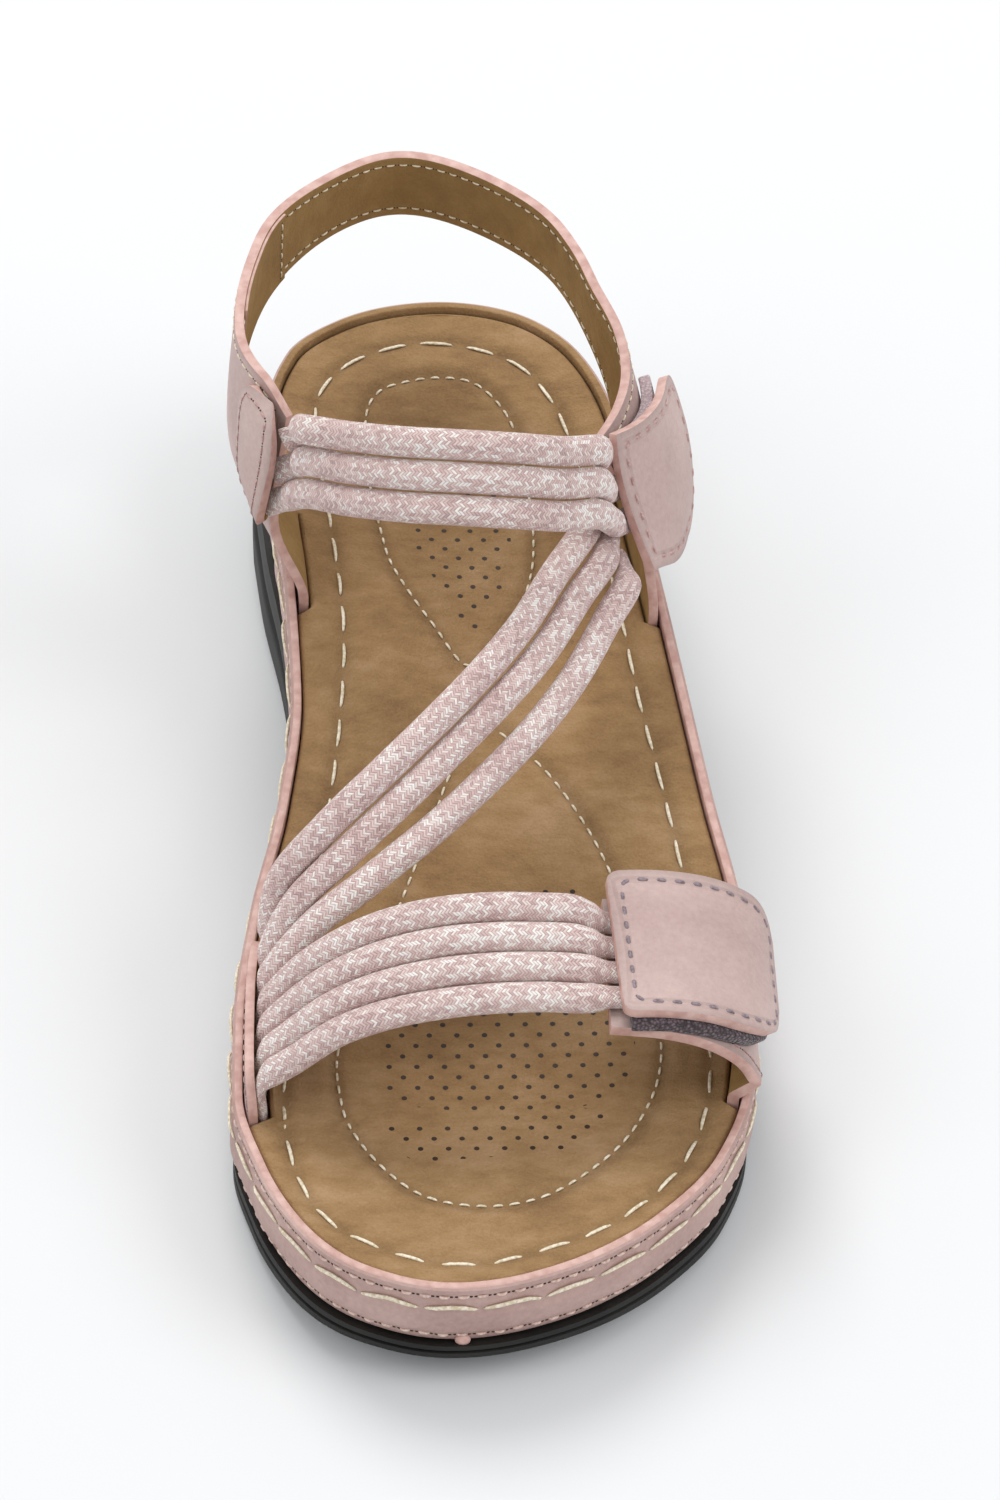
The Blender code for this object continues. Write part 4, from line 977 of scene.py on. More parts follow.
class Sheet:
    """Leather or tape of even thickness: place(u, v) is its middle surface, its outside looks away
    from the shoe's inside."""

    def __init__(self, place, thickness, inside=None):
        self.place = place
        self.half = 0.5 * thickness
        self.inside = inside or Vector((0.0, along_to_y(HEEL_MIDDLE), 0.02))
        middle = place(0.5, 0.5)
        self.sign = 1.0
        self.sign = 1.0 if self.normal(0.5, 0.5).dot(middle - self.inside) > 0.0 else -1.0

    def normal(self, u, v):
        low_u, high_u = max(0.0, u - 0.01), min(1.0, u + 0.01)
        low_v, high_v = max(0.0, v - 0.02), min(1.0, v + 0.02)
        right = self.place(high_u, v) - self.place(low_u, v)
        up = self.place(u, high_v) - self.place(u, low_v)
        return right.cross(up).normalized() * self.sign

    def on(self, u, v, lift=0.0):
        normal = self.normal(u, v)
        return self.place(u, v) + normal * (self.half + lift), normal

    def under(self, u, v, lift=0.0):
        normal = self.normal(u, v)
        return self.place(u, v) - normal * (self.half + lift), -normal

    def build(self, name, steps, materials, nodes=(), bevel=0.0004):
        columns, rows = steps
        mesh, spots = laid_grid(columns, rows, self.place)
        margin = mesh.verts.layers.float["margin"]
        for (column, row), vertex in spots.items():
            sides = []
            for end_column, end_row in ((0, row), (columns, row), (column, 0), (column, rows)):
                sides.append((spots[end_column, end_row].co - vertex.co).length)
            vertex[margin] = min(1.0, min(sides) / MARGIN)
        if self.sign < 0.0:
            bmesh.ops.reverse_faces(mesh, faces=mesh.faces)
        piece = keep(name, mesh, materials, nodes, 0.0)
        wall = piece.modifiers.new("wall", "SOLIDIFY")
        wall.thickness = 2.0 * self.half
        wall.offset = 0.0
        wall.material_offset = 1
        wall.material_offset_rim = 2
        rounding = piece.modifiers.new("rounding", "BEVEL")
        rounding.width = bevel
        rounding.segments = 2
        rounding.limit_method = "ANGLE"
        rounding.angle_limit = math.radians(40.0)
        return piece


# A stitch: its flatness, how high its middle rides and how far its ends dip, as shares of its
# thickness, how much its length varies and the depth of its needle holes. The stitches are built in
# batches, because small meshes are quick to add to
THREAD_FLATNESS = 0.62
THREAD_RISE = 0.30
THREAD_DIP = 0.55
STITCH_VARIES = 0.06
NEEDLE_HOLE_DEPTH = 0.00016
STITCH_BATCH = 16


def sew(name, track, stitch, material, closed=False, scallop=0.0, holes=True):
    """Row of stitches along a track of (point, normal) pairs: each a thread that dips at its ends,
    with a needle hole beyond each, a shallow dark dent of painted shade."""
    length, pitch, thick = stitch
    reach = [0.0]
    for here, following in zip(track, track[1:]):
        reach.append(reach[-1] + (following[0] - here[0]).length)
    rows = [(*point, *normal) for point, normal in track]
    at = curve_through(reach, rows, True)
    count = max(1, int(round(reach[-1] / pitch)))
    step = reach[-1] / count
    ends = 0.0 if closed else 0.5 * length
    numbers = [number for number in range(count)
               if closed or ends < (number + 0.5) * step < reach[-1] - ends + 1e-6]
    whole = bmesh.new()
    part = bmesh.new()
    part_data = bpy.data.meshes.new("stitches")

    def frame_at(place):
        row = at(place)
        ahead = at(place + 0.0004)
        along_thread = Vector(ahead[:3] - row[:3]).normalized()
        normal = Vector(row[3:]).normalized()
        return Vector(row[:3]), along_thread.cross(normal), normal

    def ball(rows):
        made = bmesh.ops.create_uvsphere(part, u_segments=6, v_segments=rows, radius=0.5)
        return made["verts"]

    for number in numbers:
        middle = (number + 0.5) * step
        varied = 1.0 - STITCH_VARIES + STITCH_VARIES * math.sin(number * 2.7)
        half = 0.5 * length * varied
        rings = {}
        for vertex in ball(6):
            share = round(2.0 * vertex.co.z, 4)
            if share not in rings:
                rings[share] = frame_at(middle + half * share)
            point, side, normal = rings[share]
            round_share = max(1e-4, math.sqrt(1.0 - min(0.999, share * share)))
            girth = math.sqrt(max(0.0, 1.0 - share ** 4)) / round_share
            sag = scallop * (1.0 - share * share)
            rise = THREAD_RISE * thick - THREAD_DIP * thick * share ** 4
            vertex.co = (point + side * (vertex.co.x * thick * girth + sag)
                         + normal * (vertex.co.y * thick * THREAD_FLATNESS * girth + rise))
        for end in (-1.0, 1.0) if holes else ():
            point, _side, normal = frame_at(middle + end * (half + 0.2 * thick))
            made = ball(3)
            for face in {face for vertex in made for face in vertex.link_faces}:
                face.material_index = 1
            turn = normal.to_track_quat("Z", "Y")
            for vertex in made:
                sunk = (vertex.co.x * thick, vertex.co.y * thick, vertex.co.z * NEEDLE_HOLE_DEPTH)
                vertex.co = point + turn @ Vector(sunk)
        if number % STITCH_BATCH == STITCH_BATCH - 1 or number == numbers[-1]:
            bmesh.ops.recalc_face_normals(part, faces=part.faces)
            part.to_mesh(part_data)
            whole.from_mesh(part_data)
            part.clear()
    part.free()
    bpy.data.meshes.remove(part_data)
    return keep(name, whole, [material, HOLE_SHADOW], (), 0.0)


# Columns of the grids that run round the sole
AROUND = 420


def outline_spot(share):
    """Turn and side of the sole at a share of the way round, from the heel by the medial side."""
    if share <= 0.5:
        return math.pi * 2.0 * share, MEDIAL
    return math.pi * 2.0 * (1.0 - share), LATERAL


def inward_point(share, inset, inward, height_at):
    """Point between the inset outline and the middle line of the sole."""
    turn, side = outline_spot(share)
    along = along_at(turn)
    edge = inset_point(turn, side, inset)
    other = inset_point(turn, -side, inset)
    middle = 0.5 * (edge + other)
    point = edge.lerp(middle, inward)
    return Vector((point.x, point.y, height_at(along)))


def build_sole_piece(name, rings, materials, extra=None):
    """Closed body of the sole, from rings that each give a point for a share of the way round."""
    count = len(rings) - 1

    def place(u, v):
        ring = rings[round(v * count)]
        return ring(u)

    mesh, spots = laid_grid(AROUND, count, place)
    if extra:
        extra(mesh, spots)
    wound(mesh)
    return keep(name, mesh, materials, (name,), 45.0)


def ring_at(inset, inward, height_at):
    """Ring of a sole piece: its inset, one for all or by share, and how far in from there it is."""
    inset_at = inset if callable(inset) else lambda share: inset
    return lambda share: inward_point(share, inset_at(share), inward, height_at)


# Seams of the footbed's suede cover, as shares across and along: the heel's and the forefoot's
# teardrops, and the big cream stitches that run round inside the rim
HEEL_TEARDROP = (
    (-0.164, 0.117), (-0.136, 0.090), (-0.082, 0.079), (-0.008, 0.074), (0.063, 0.079),
    (0.114, 0.099), (0.150, 0.130), (0.170, 0.180), (0.178, 0.250), (0.165, 0.300), (0.130, 0.335),
    (0.035, 0.392), (-0.042, 0.352), (-0.116, 0.295), (-0.142, 0.252), (-0.166, 0.180),
)
FORE_TEARDROP = (
    (0.048, 0.446), (-0.019, 0.490), (-0.060, 0.535), (-0.165, 0.645), (-0.255, 0.740),
    (-0.257, 0.800), (-0.227, 0.839), (-0.159, 0.880), (-0.087, 0.903), (0.017, 0.911),
    (0.114, 0.903), (0.197, 0.881), (0.282, 0.846), (0.340, 0.806), (0.368, 0.768),
    (0.370, 0.730), (0.340, 0.655), (0.290, 0.575), (0.216, 0.511), (0.140, 0.470),
)
BED_SEAM = (
    (-0.262, 0.105), (-0.206, 0.067), (-0.123, 0.047), (-0.026, 0.039), (0.084, 0.047),
    (0.168, 0.067), (0.222, 0.100), (0.256, 0.140), (0.300, 0.230), (0.340, 0.335),
    (0.366, 0.417), (0.389, 0.470), (0.420, 0.545), (0.450, 0.640), (0.462, 0.740),
    (0.442, 0.816), (0.374, 0.878), (0.237, 0.932), (0.065, 0.963), (-0.015, 0.970),
    (-0.118, 0.965), (-0.243, 0.938), (-0.305, 0.910), (-0.345, 0.868), (-0.362, 0.812),
    (-0.352, 0.740), (-0.318, 0.640), (-0.270, 0.545), (-0.234, 0.440), (-0.222, 0.350),
    (-0.240, 0.250), (-0.262, 0.170),
)


def smooth_loop(corners, count):
    """Smooth closed line through the corners."""
    ring = [*corners[-3:], *corners, *corners[:3]]
    curve = curve_through(range(len(ring)), ring, False)
    return [curve(3.0 + len(corners) * step / count) for step in range(count)]


class BedLine:
    """Closed line over the footbed, with a quick way to find how far a point is from it."""

    def __init__(self, corners, count=1800):
        places = [(x * BALL_WIDTH, along_to_y(along)) for x, along in smooth_loop(corners, count)]
        self.points = np.array(places)
        self.tree = KDTree(count)
        for index, (x, y) in enumerate(places):
            self.tree.insert((x, y, 0.0), index)
        self.tree.balance()


HEEL_LINE = BedLine(HEEL_TEARDROP)
FORE_LINE = BedLine(FORE_TEARDROP)
BED_LINE = BedLine(BED_SEAM)


def distance_to(line, x, y):
    return line.tree.find((x, y, 0.0))[2]


def inside_line(line, x, y):
    """Whether a point of the footbed lies inside a closed line."""
    start, end = line.points, np.roll(line.points, -1, axis=0)
    crosses = (start[:, 1] > y) != (end[:, 1] > y)
    rise = np.where(crosses, end[:, 1] - start[:, 1], 1.0)
    at = start[:, 0] + (y - start[:, 1]) / rise * (end[:, 0] - start[:, 0])
    return bool((crosses & (x < at)).sum() % 2)


# Widths of the grooves that the teardrop seams and the big stitches draw
SEAM_WIDTH = 0.0014
STITCHED_WIDTH = 0.0016


def groove_at(x, y):
    """How deep in a seam's groove a point of the footbed lies, 0 to 1 for each kind of seam."""
    seam = min(distance_to(HEEL_LINE, x, y), distance_to(FORE_LINE, x, y))
    stitched = distance_to(BED_LINE, x, y)
    return hump(seam, 0.0, SEAM_WIDTH), hump(stitched, 0.0, STITCHED_WIDTH), seam


# How far the suede sinks at a seam, and the low swell that it is pushed up into beside it: its
# height, distance from the seam and width
SEAM_SINK = 0.0007
SEAM_SWELL = (0.0002, 0.0024, 0.0016)


def seam_sink(x, y):
    """How far the seams draw the suede down at a point, and how much painted shade their grooves
    get there.
    """
    seam, stitched, distance = groove_at(x, y)
    height, place, width = SEAM_SWELL
    sink = SEAM_SINK * (seam + stitched) - height * hump(distance, place, width)
    return sink, max(seam, 0.75 * stitched)


def bed_side(x, y):
    """Side share of a point on the footbed, -1 at the medial edge and 1 at the lateral one."""
    turn = turn_at(y_to_along(y))
    inset = RAND_WALL + GAP + FOOTBED_EDGE_ROUND
    left = inset_point(turn, MEDIAL, inset).x
    right = inset_point(turn, LATERAL, inset).x
    return max(-1.0, min(1.0, (2.0 * x - left - right) / max(1e-6, right - left)))


def bed_height(x, y):
    """Height of the footbed's suede at a point, seams left out."""
    along = y_to_along(y)
    relief = footbed_relief(Vector((x, y, 0.0)), bed_side(x, y))
    return rim_height(along) - FOOTBED_STEP + relief


def make_outsole_piece():
    def side_ring(level, outset, inset):
        def ring(share):
            turn, side = outline_spot(share)
            along = along_at(turn)
            ground = ground_height(along)
            point = inset_point(turn, side, inset * SIDE_RIB_DEPTH - outset * flare_at(turn))
            return Vector((point.x, point.y, ground + level * (split_height(along) - ground)))

        return ring

    def flat_ring(inward, top):
        height_at = split_height if top else ground_height
        level = OUTSOLE_SIDE[-1] if top else OUTSOLE_SIDE[0]

        def ring(share):
            turn, _side = outline_spot(share)
            inset = level[2] * SIDE_RIB_DEPTH - level[1] * flare_at(turn)
            point = inward_point(share, inset, inward, height_at)
            return point if top else point + Vector((0.0, 0.0, tread_depth(point)))

        return ring

    bottom_rings = 56
    rings = [flat_ring(1.0 - step / bottom_rings, False) for step in range(bottom_rings)]
    profile = table_curve(OUTSOLE_SIDE)
    levels = [0.0, 0.02, 0.05, 0.09, 0.14, 0.25, 0.40, 0.505, 0.525, 0.545, 0.56, 0.60, 0.64, 0.66]
    levels += [0.68, 0.70, 0.80, 0.90, 0.98, 1.0]
    for level in levels:
        outset, inset = profile(level)
        rings.append(side_ring(level, outset, inset))
    rings += [flat_ring(inward, True) for inward in (0.04, 0.5, 1.0)]
    return build_sole_piece("outsole", rings, [BLACK_RUBBER])


def tread_depth(point):
    """Depth of the tread's grooves at a point of the outsole's bottom."""
    along = y_to_along(point.y)
    if not 0.01 < along < 0.99:
        return 0.0
    medial, lateral = plan_width(turn_at(along))
    middle = (lateral - medial) * 0.5 * BALL_WIDTH
    reach = (lateral + medial) * TREAD_HALF_REACH * BALL_WIDTH
    for side in (MEDIAL, LATERAL):
        centre = middle + side * reach * TREAD_GROOVE_CENTRE
        place = (point.x - centre) / (reach * TREAD_GROOVE_LENGTH)
        if abs(place) > 0.5:
            continue
        ahead = point.y + TREAD_GROOVE_SWEEP * place * reach * side
        for start, end in TREAD_SPANS:
            count = int((end - start) * FOOTBED_LENGTH / GROOVE_PITCH)
            for number in range(count):
                groove = along_to_y(start + (number + 0.5) * GROOVE_PITCH / FOOTBED_LENGTH)
                if abs(ahead - groove) < 0.5 * GROOVE_WIDTH:
                    return GROOVE_DEPTH
    return 0.0


RAND_PROFILE = table_curve(RAND_SIDE, False)

# Where the rand's side goes over into its rolled top, below the rim
RAND_SHOULDER = 0.25 * RAND_WALL

# Seams of the rand: drop of the top row and of the welt row below the rim, and rise of the low row
RAND_SEAM_DROP = 0.0024
WELT_DROP = 0.0058
RAND_SEAM_RISE = 0.0019

# Depth and width of the groove that each seam draws
RAND_GROOVE = (0.00035, 0.0009)
WELT_GROOVE = (0.00022, 0.0010)

# Small pulls and dents of leather that is wrapped round a curved midsole: their depth, the rim's
# length and two wave numbers that never fall into step
WRINKLE_DEPTH = 0.00026
RIM_LENGTH = 0.64
WRINKLE_WAVES = (410.0, 151.0)


def rand_inset(level):
    """Inset of the rand's side from the rim's plan; a negative one bulges."""
    outset, inset = RAND_PROFILE(min(level, 0.78))
    return inset * RAND_WALL - outset * RAND_BULGE


def rand_wrinkle(share, level):
    around = share * RIM_LENGTH
    fine, coarse = WRINKLE_WAVES
    pull = math.sin(around * fine + 3.0 * math.sin(around * 57.0)) * math.sin(around * coarse + 1.3)
    return WRINKLE_DEPTH * pull * math.sin(math.pi * min(1.0, level * 1.1))


def rand_point(share, level, lift=0.0):
    """Point and normal of the rand's outside: level 0 is at the outsole, 1 at the rim."""
    turn, side = outline_spot(share)
    along = along_at(turn)
    low = split_height(along) + GAP
    rim = rim_height(along)
    height = low + level * (rim - RAND_SHOULDER - low)
    inset = rand_inset((height - low) / (rim - low)) + rand_wrinkle(share, level)
    for seam, (depth, width) in ((rim - RAND_SEAM_DROP, RAND_GROOVE),
                                 (rim - WELT_DROP, WELT_GROOVE),
                                 (low + RAND_SEAM_RISE, RAND_GROOVE)):
        inset += depth * hump(height, seam, width)
    point = inset_point(turn, side, inset - lift)
    outward = (point - inset_point(turn, side, inset + 0.002)).normalized()
    return Vector((point.x, point.y, height)), outward


# Share of the way round, to each side of the heel, where the footbed's suede covers the rim too
HEEL_COVER = 0.18


# Rolled top of the rand. Columns: drop below the rim and inset, as shares of the rand's wall
RAND_ROLL = ((0.09, 0.06), (0.02, 0.17), (0.00, 0.30), (0.00, 0.55), (0.00, 0.80), (0.06, 0.93),
             (0.25, 1.00))


def make_rand_piece():
    def floor_height(along):
        return split_height(along) + GAP

    def below_rim(drop):
        return lambda along: rim_height(along) - drop

    side_rows = 30
    rings = [ring_at(0.6 * RAND_WALL, 1.0, floor_height)]
    rings.append(ring_at(0.25 * RAND_WALL, 0.0, floor_height))
    rings += [(lambda share, row=row: rand_point(share, row / side_rows)[0])
              for row in range(side_rows + 1)]
    side_count = len(rings)
    rings += [ring_at(inset * RAND_WALL, 0.0, below_rim(drop * RAND_WALL))
              for drop, inset in RAND_ROLL]
    rings += [ring_at(RAND_WALL, 0.0, below_rim(RECESS_DEPTH * depth)) for depth in (0.2, 1.0)]
    rings.append(ring_at(RAND_WALL, 1.0, below_rim(RECESS_DEPTH)))

    def extra(mesh, spots):
        margin = mesh.verts.layers.float["margin"]
        spot_of = {vertex: spot for spot, vertex in spots.items()}
        for vertex in mesh.verts:
            vertex[margin] = 1.0
        for face in mesh.faces:
            columns, rows = zip(*[spot_of[vertex] for vertex in face.verts])
            if max(rows) > side_count:
                from_heel = min(min(column / AROUND, 1.0 - column / AROUND) for column in columns)
                face.material_index = 2 if from_heel < HEEL_COVER else 1

    return build_sole_piece("midsole", rings, [RAND_PINK, EDGE, FOOTBED_SUEDE], extra)


def make_footbed_piece():
    def inset_by(extra):
        def at(share):
            turn, side = outline_spot(share)
            return RAND_WALL + GAP + extra + slot_inset(turn, side)

        return at

    def underside(along):
        return rim_height(along) - RECESS_DEPTH + GAP

    rings = [ring_at(inset_by(0.0), inward, underside) for inward in (1.0, 0.0)]
    for turn in (0.0, 0.3, 0.6, 0.85):
        drop = FOOTBED_EDGE_ROUND * (1.0 - math.sin(turn * math.pi / 2.0))
        extra = FOOTBED_EDGE_ROUND * (1.0 - math.cos(turn * math.pi / 2.0))
        rings.append(ring_at(inset_by(extra), 0.0,
                             lambda along, drop=drop: rim_height(along) - FOOTBED_STEP - drop))
    steps = 84
    first_top = len(rings)

    def top_ring(inward):
        def ring(share):
            turn, side = outline_spot(share)
            inset = inset_by(FOOTBED_EDGE_ROUND)(share)
            point = inward_point(share, inset, inward, rim_height)
            point.z += footbed_relief(point, side * (1.0 - inward)) - FOOTBED_STEP
            return point

        return ring

    rings += [top_ring(step / steps) for step in range(steps + 1)]

    def extra(mesh, spots):
        groove = mesh.verts.layers.float["groove"]
        for (_column, row), vertex in spots.items():
            if row < first_top:
                continue
            sink, vertex[groove] = seam_sink(vertex.co.x, vertex.co.y)
            vertex.co.z -= sink

    return build_sole_piece("footbed", rings, [FOOTBED_SUEDE], extra)


BED_STITCH_LIFT = 0.0002


# Bow of the rim's stitches, and how far inside their seams the teardrops' stitches lie
BED_SCALLOP = 0.0002
TEARDROP_INWARD = 0.0006


def sew_bed(name, line, stitch, inward=0.0, scallop=0.0):
    """Stitches along a seam of the footbed."""
    track = []
    centre = line.points.mean(axis=0)
    for point in [*line.points[::6], line.points[0]]:
        x, y = point
        if inward:
            way = centre - point
            x, y = point + way / np.linalg.norm(way) * inward
        height = bed_height(x, y) - seam_sink(x, y)[0] + BED_STITCH_LIFT
        track.append((Vector((x, y, height)), Vector((0.0, 0.0, 1.0))))
    return sew(name, track, stitch, CREAM, True, scallop, False)


# Punched holes: radius, pitch across, least distance from the seam, and lift over the suede
PUNCH_RADIUS = 0.00055
PUNCH_PITCH = 0.0052
PUNCH_MARGIN = 0.0050
PUNCH_LIFT = 0.00006

# Where the punched fields start and end along the shoe
FORE_HOLES_SPAN = (0.50, 0.90)
HEEL_HOLES_SPAN = (0.20, 0.36)


def perforate(name, line, along_span):
    """Punched holes on a staggered lattice inside a seam, each a flat dark disc of painted shade.
    """
    mesh = bmesh.new()
    pitch = PUNCH_PITCH
    low, high = line.points.min(axis=0), line.points.max(axis=0)
    rows = int((high[1] - low[1]) / (pitch * 0.5)) + 1
    columns = int((high[0] - low[0]) / pitch) + 2
    for row in range(rows):
        for column in range(columns):
            x = low[0] + (column + 0.5 * (row % 2)) * pitch
            y = low[1] + row * pitch * 0.5
            along = y_to_along(y)
            if not along_span[0] < along < along_span[1]:
                continue
            if not inside_line(line, x, y) or distance_to(line, x, y) < PUNCH_MARGIN:
                continue
            disc = bmesh.ops.create_circle(mesh, cap_ends=True, segments=8, radius=PUNCH_RADIUS)
            for corner in disc["verts"]:
                spot_x, spot_y = x + corner.co.x, y + corner.co.y
                corner.co = (spot_x, spot_y, bed_height(spot_x, spot_y) + PUNCH_LIFT)
    return keep(name, mesh, [HOLE_SHADOW], (), 0.0)


STRAP_CURVE = table_curve(STRAP_EDGES)
STRAP_FIRST, STRAP_LAST = STRAP_EDGES[0][0], STRAP_EDGES[-1][0]

# Leather at its free thickness, a little thinner than the solid's wall
STRAP_SHOWN_WALL = 0.0019

# The free part of the strap runs in a rounder line than the wall's rows: its middle, its reach and
# how far to both sides the line is evened out, in rows
SLING_MIDDLE = 8.3
SLING_REACH = 3.4
SLING_EASE = 0.62


def strap_place(u, v):
    """Middle surface of the heel strap, from its lateral to its medial end and from low to high."""
    position = STRAP_FIRST + (STRAP_LAST - STRAP_FIRST) * u
    low, high = STRAP_CURVE(position)
    level = low + (high - low) * v
    point = ankle_wall(position, level)
    sling = max(0.0, 1.0 - ((position - SLING_MIDDLE) / SLING_REACH) ** 4)
    if sling <= 0.0:
        return point
    eased = Vector((0.0, 0.0, 0.0))
    for step in range(-4, 5):
        eased += ankle_wall(position + SLING_EASE * step / 4.0, level) * (5 - abs(step)) / 25.0
    return point.lerp(eased, sling)


# Seams of the strap: distance from its edge, and where along it the lower one starts and ends
STRAP_SEAM = 0.0021
STRAP_LOW_SEAM_SPAN = (0.27, 0.80)

# Strip over the joint of the lining, at the medial end of the sling: its rows, lift and thickness
OVERLAP_SPAN = (9.95, 12.2)
OVERLAP_LIFT = 0.0003
OVERLAP_WALL = 0.0007


def make_heel_strap_pieces():
    strap = Sheet(strap_place, STRAP_SHOWN_WALL)
    strap.build("heel_strap", (260, 22), [PINK, LINING, EDGE], ("heel_strap",))

    def edge_track(from_top, span, surface):
        track = []
        for step in range(161):
            u = span[0] + (span[1] - span[0]) * step / 160
            height = (strap_place(u, 1.0) - strap_place(u, 0.0)).length
            share = STRAP_SEAM / max(height, 2.0 * STRAP_SEAM)
            track.append(surface(u, 1.0 - share if from_top else share))
        return track

    for label, surface in (("outer", strap.on), ("inner", strap.under)):
        sew(f"strap_top_stitches_{label}", edge_track(True, (0.02, 0.98), surface),
            EDGE_STITCH, CREAM)
        sew(f"strap_low_stitches_{label}", edge_track(False, STRAP_LOW_SEAM_SPAN, surface),
            EDGE_STITCH, CREAM)

    start, end = [(row - STRAP_FIRST) / (STRAP_LAST - STRAP_FIRST) for row in OVERLAP_SPAN]

    def overlap(u, v):
        return strap.under(start + (end - start) * u, 0.01 + 0.975 * v, OVERLAP_LIFT)[0]

    layer = Sheet(overlap, OVERLAP_WALL)
    layer.build("lining_overlap", (50, 20), [LINING, LINING, EDGE], (), 0.0002)
    track = [layer.under(0.05, 0.06 + 0.88 * step / 30) for step in range(31)]
    sew("lining_joint_stitches", track, EDGE_STITCH, CREAM)


def make_ankle_tab_pieces():
    def tab_place(u, v):
        share = 0.5 - 0.5 * math.cos(math.pi * u)
        half = round_end(share, *ANKLE_TAB_END)
        width_share = 0.5 + (v - 0.5) * half
        position, level = on_wall(ANKLE_TAB_CORNERS, share, width_share)
        flare = ANKLE_TAB_TOP_FLARE + (ANKLE_TAB_FLARE - ANKLE_TAB_TOP_FLARE) * width_share
        return lifted_wall(position, level, TAB_LIFT + flare * share ** 2)

    tab = Sheet(tab_place, TAB_WALL)
    tab.build("ankle_tab", (44, 40), [TAB_PINK, PINK, EDGE], ("ankle_tab",), 0.0005)
    sew_border("ankle_tab_stitches", tab, ROSE)

    start, end = ANKLE_TAPE_SPAN

    def tape_place(u, v):
        width_share = TAPE_BORDER + (1.0 - 2.0 * TAPE_BORDER) * v
        position, level = on_wall(ANKLE_TAB_CORNERS, start + (end - start) * u, width_share)
        return lifted_wall(position, level, TAPE_LIFT)

    pad = Sheet(tape_place, TAPE_THICKNESS)
    pad.build("ankle_hook_pad", (34, 30), [LOOP, LOOP, LOOP], ("ankle_hook_pad",), 0.0003)


# Border seam of the tabs: distance from the edge, and radius of its corners
BORDER_SEAM = 0.0024
BORDER_CORNER = 0.0022


def sew_border(name, tab, material):
    """Stitches all round a tab, at one distance from its edge and rounded at the corners."""
    place, offset, corner = tab.place, BORDER_SEAM, BORDER_CORNER
    length = (place(1.0, 0.5) - place(0.0, 0.5)).length
    first = math.acos(1.0 - 2.0 * offset / length) / math.pi
    last = 1.0 - first

    def v_at(u, gap):
        width = (place(u, 1.0) - place(u, 0.0)).length
        return min(0.5, gap / max(width, 1e-5))

    def run(side):
        line = []
        for step in range(61):
            u = first + (last - first) * step / 60
            reach = 0.5 * (1.0 - math.cos(math.pi * u)) * length
            near = max(0.0, 1.0 - min(reach - offset, length - offset - reach) / corner)
            gap = offset + corner * (1.0 - math.sqrt(max(0.0, 1.0 - min(1.0, near) ** 2)))
            v = v_at(u, gap)
            line.append((u, v if side < 0 else 1.0 - v))
        return line

    spots = run(-1)
    turn_in = run(1)[::-1]
    steps = 20
    low, high = spots[-1][1], turn_in[0][1]
    spots += [(last, low + (high - low) * step / steps) for step in range(1, steps)]
    low, high = turn_in[-1][1], spots[0][1]
    spots += turn_in
    spots += [(first, low + (high - low) * step / steps) for step in range(1, steps + 1)]
    track = [tab.on(u, v, -0.0002) for u, v in spots]
    return sew(name, track, TAB_STITCH, material, True)


# How square the patch's ends are, and how much narrower than its middle they get
PATCH_SQUARENESS = 3.8
PATCH_END_PULL = 0.84


def make_ankle_patch_piece():
    open_lift = 0.5 * UPPER_WALL + CORD_END_THICKNESS + 0.5 * STRIP_WALL + PATCH_STANDOFF
    closed_lift = 0.5 * UPPER_WALL + GAP + 0.5 * STRIP_WALL

    def place(u, v):
        lift = open_lift + (closed_lift - open_lift) * u ** 2
        end = abs(2.0 * v - 1.0)
        pull = 0.5 + (u - 0.5) * math.sqrt(max(0.0, 1.0 - PATCH_END_PULL * end ** PATCH_SQUARENESS))
        position, level = on_wall(ANKLE_PATCH_CORNERS, pull, v)
        return lifted_wall(position, level, lift - (lift - closed_lift) * end ** 6)

    patch = Sheet(place, STRIP_WALL)
    patch.build("ankle_patch", (20, 40), [PINK, LINING, EDGE], ("ankle_patch",))
    ring = [(0.17, 0.08 + 0.84 * step / 30) for step in range(31)]
    ring += [(0.17 + 0.66 * step / 12, 0.92 + 0.02 * math.sin(math.pi * step / 12))
             for step in range(1, 12)]
    ring += [(1.0 - u, 1.0 - v) for u, v in ring]
    track = [patch.on(u, v) for u, v in [*ring, ring[0]]]
    sew("patch_stitches", track, EDGE_STITCH, ROSE, True)


# Toe tab: radius of the corners at its inner edge, and how far that edge slants, as a share of the
# wall. The tape below it peeps out at the front by TAPE_PEEP
TAB_CORNER = 0.0024
TAB_SLANT = 0.028
TAPE_PEEP = 0.0011


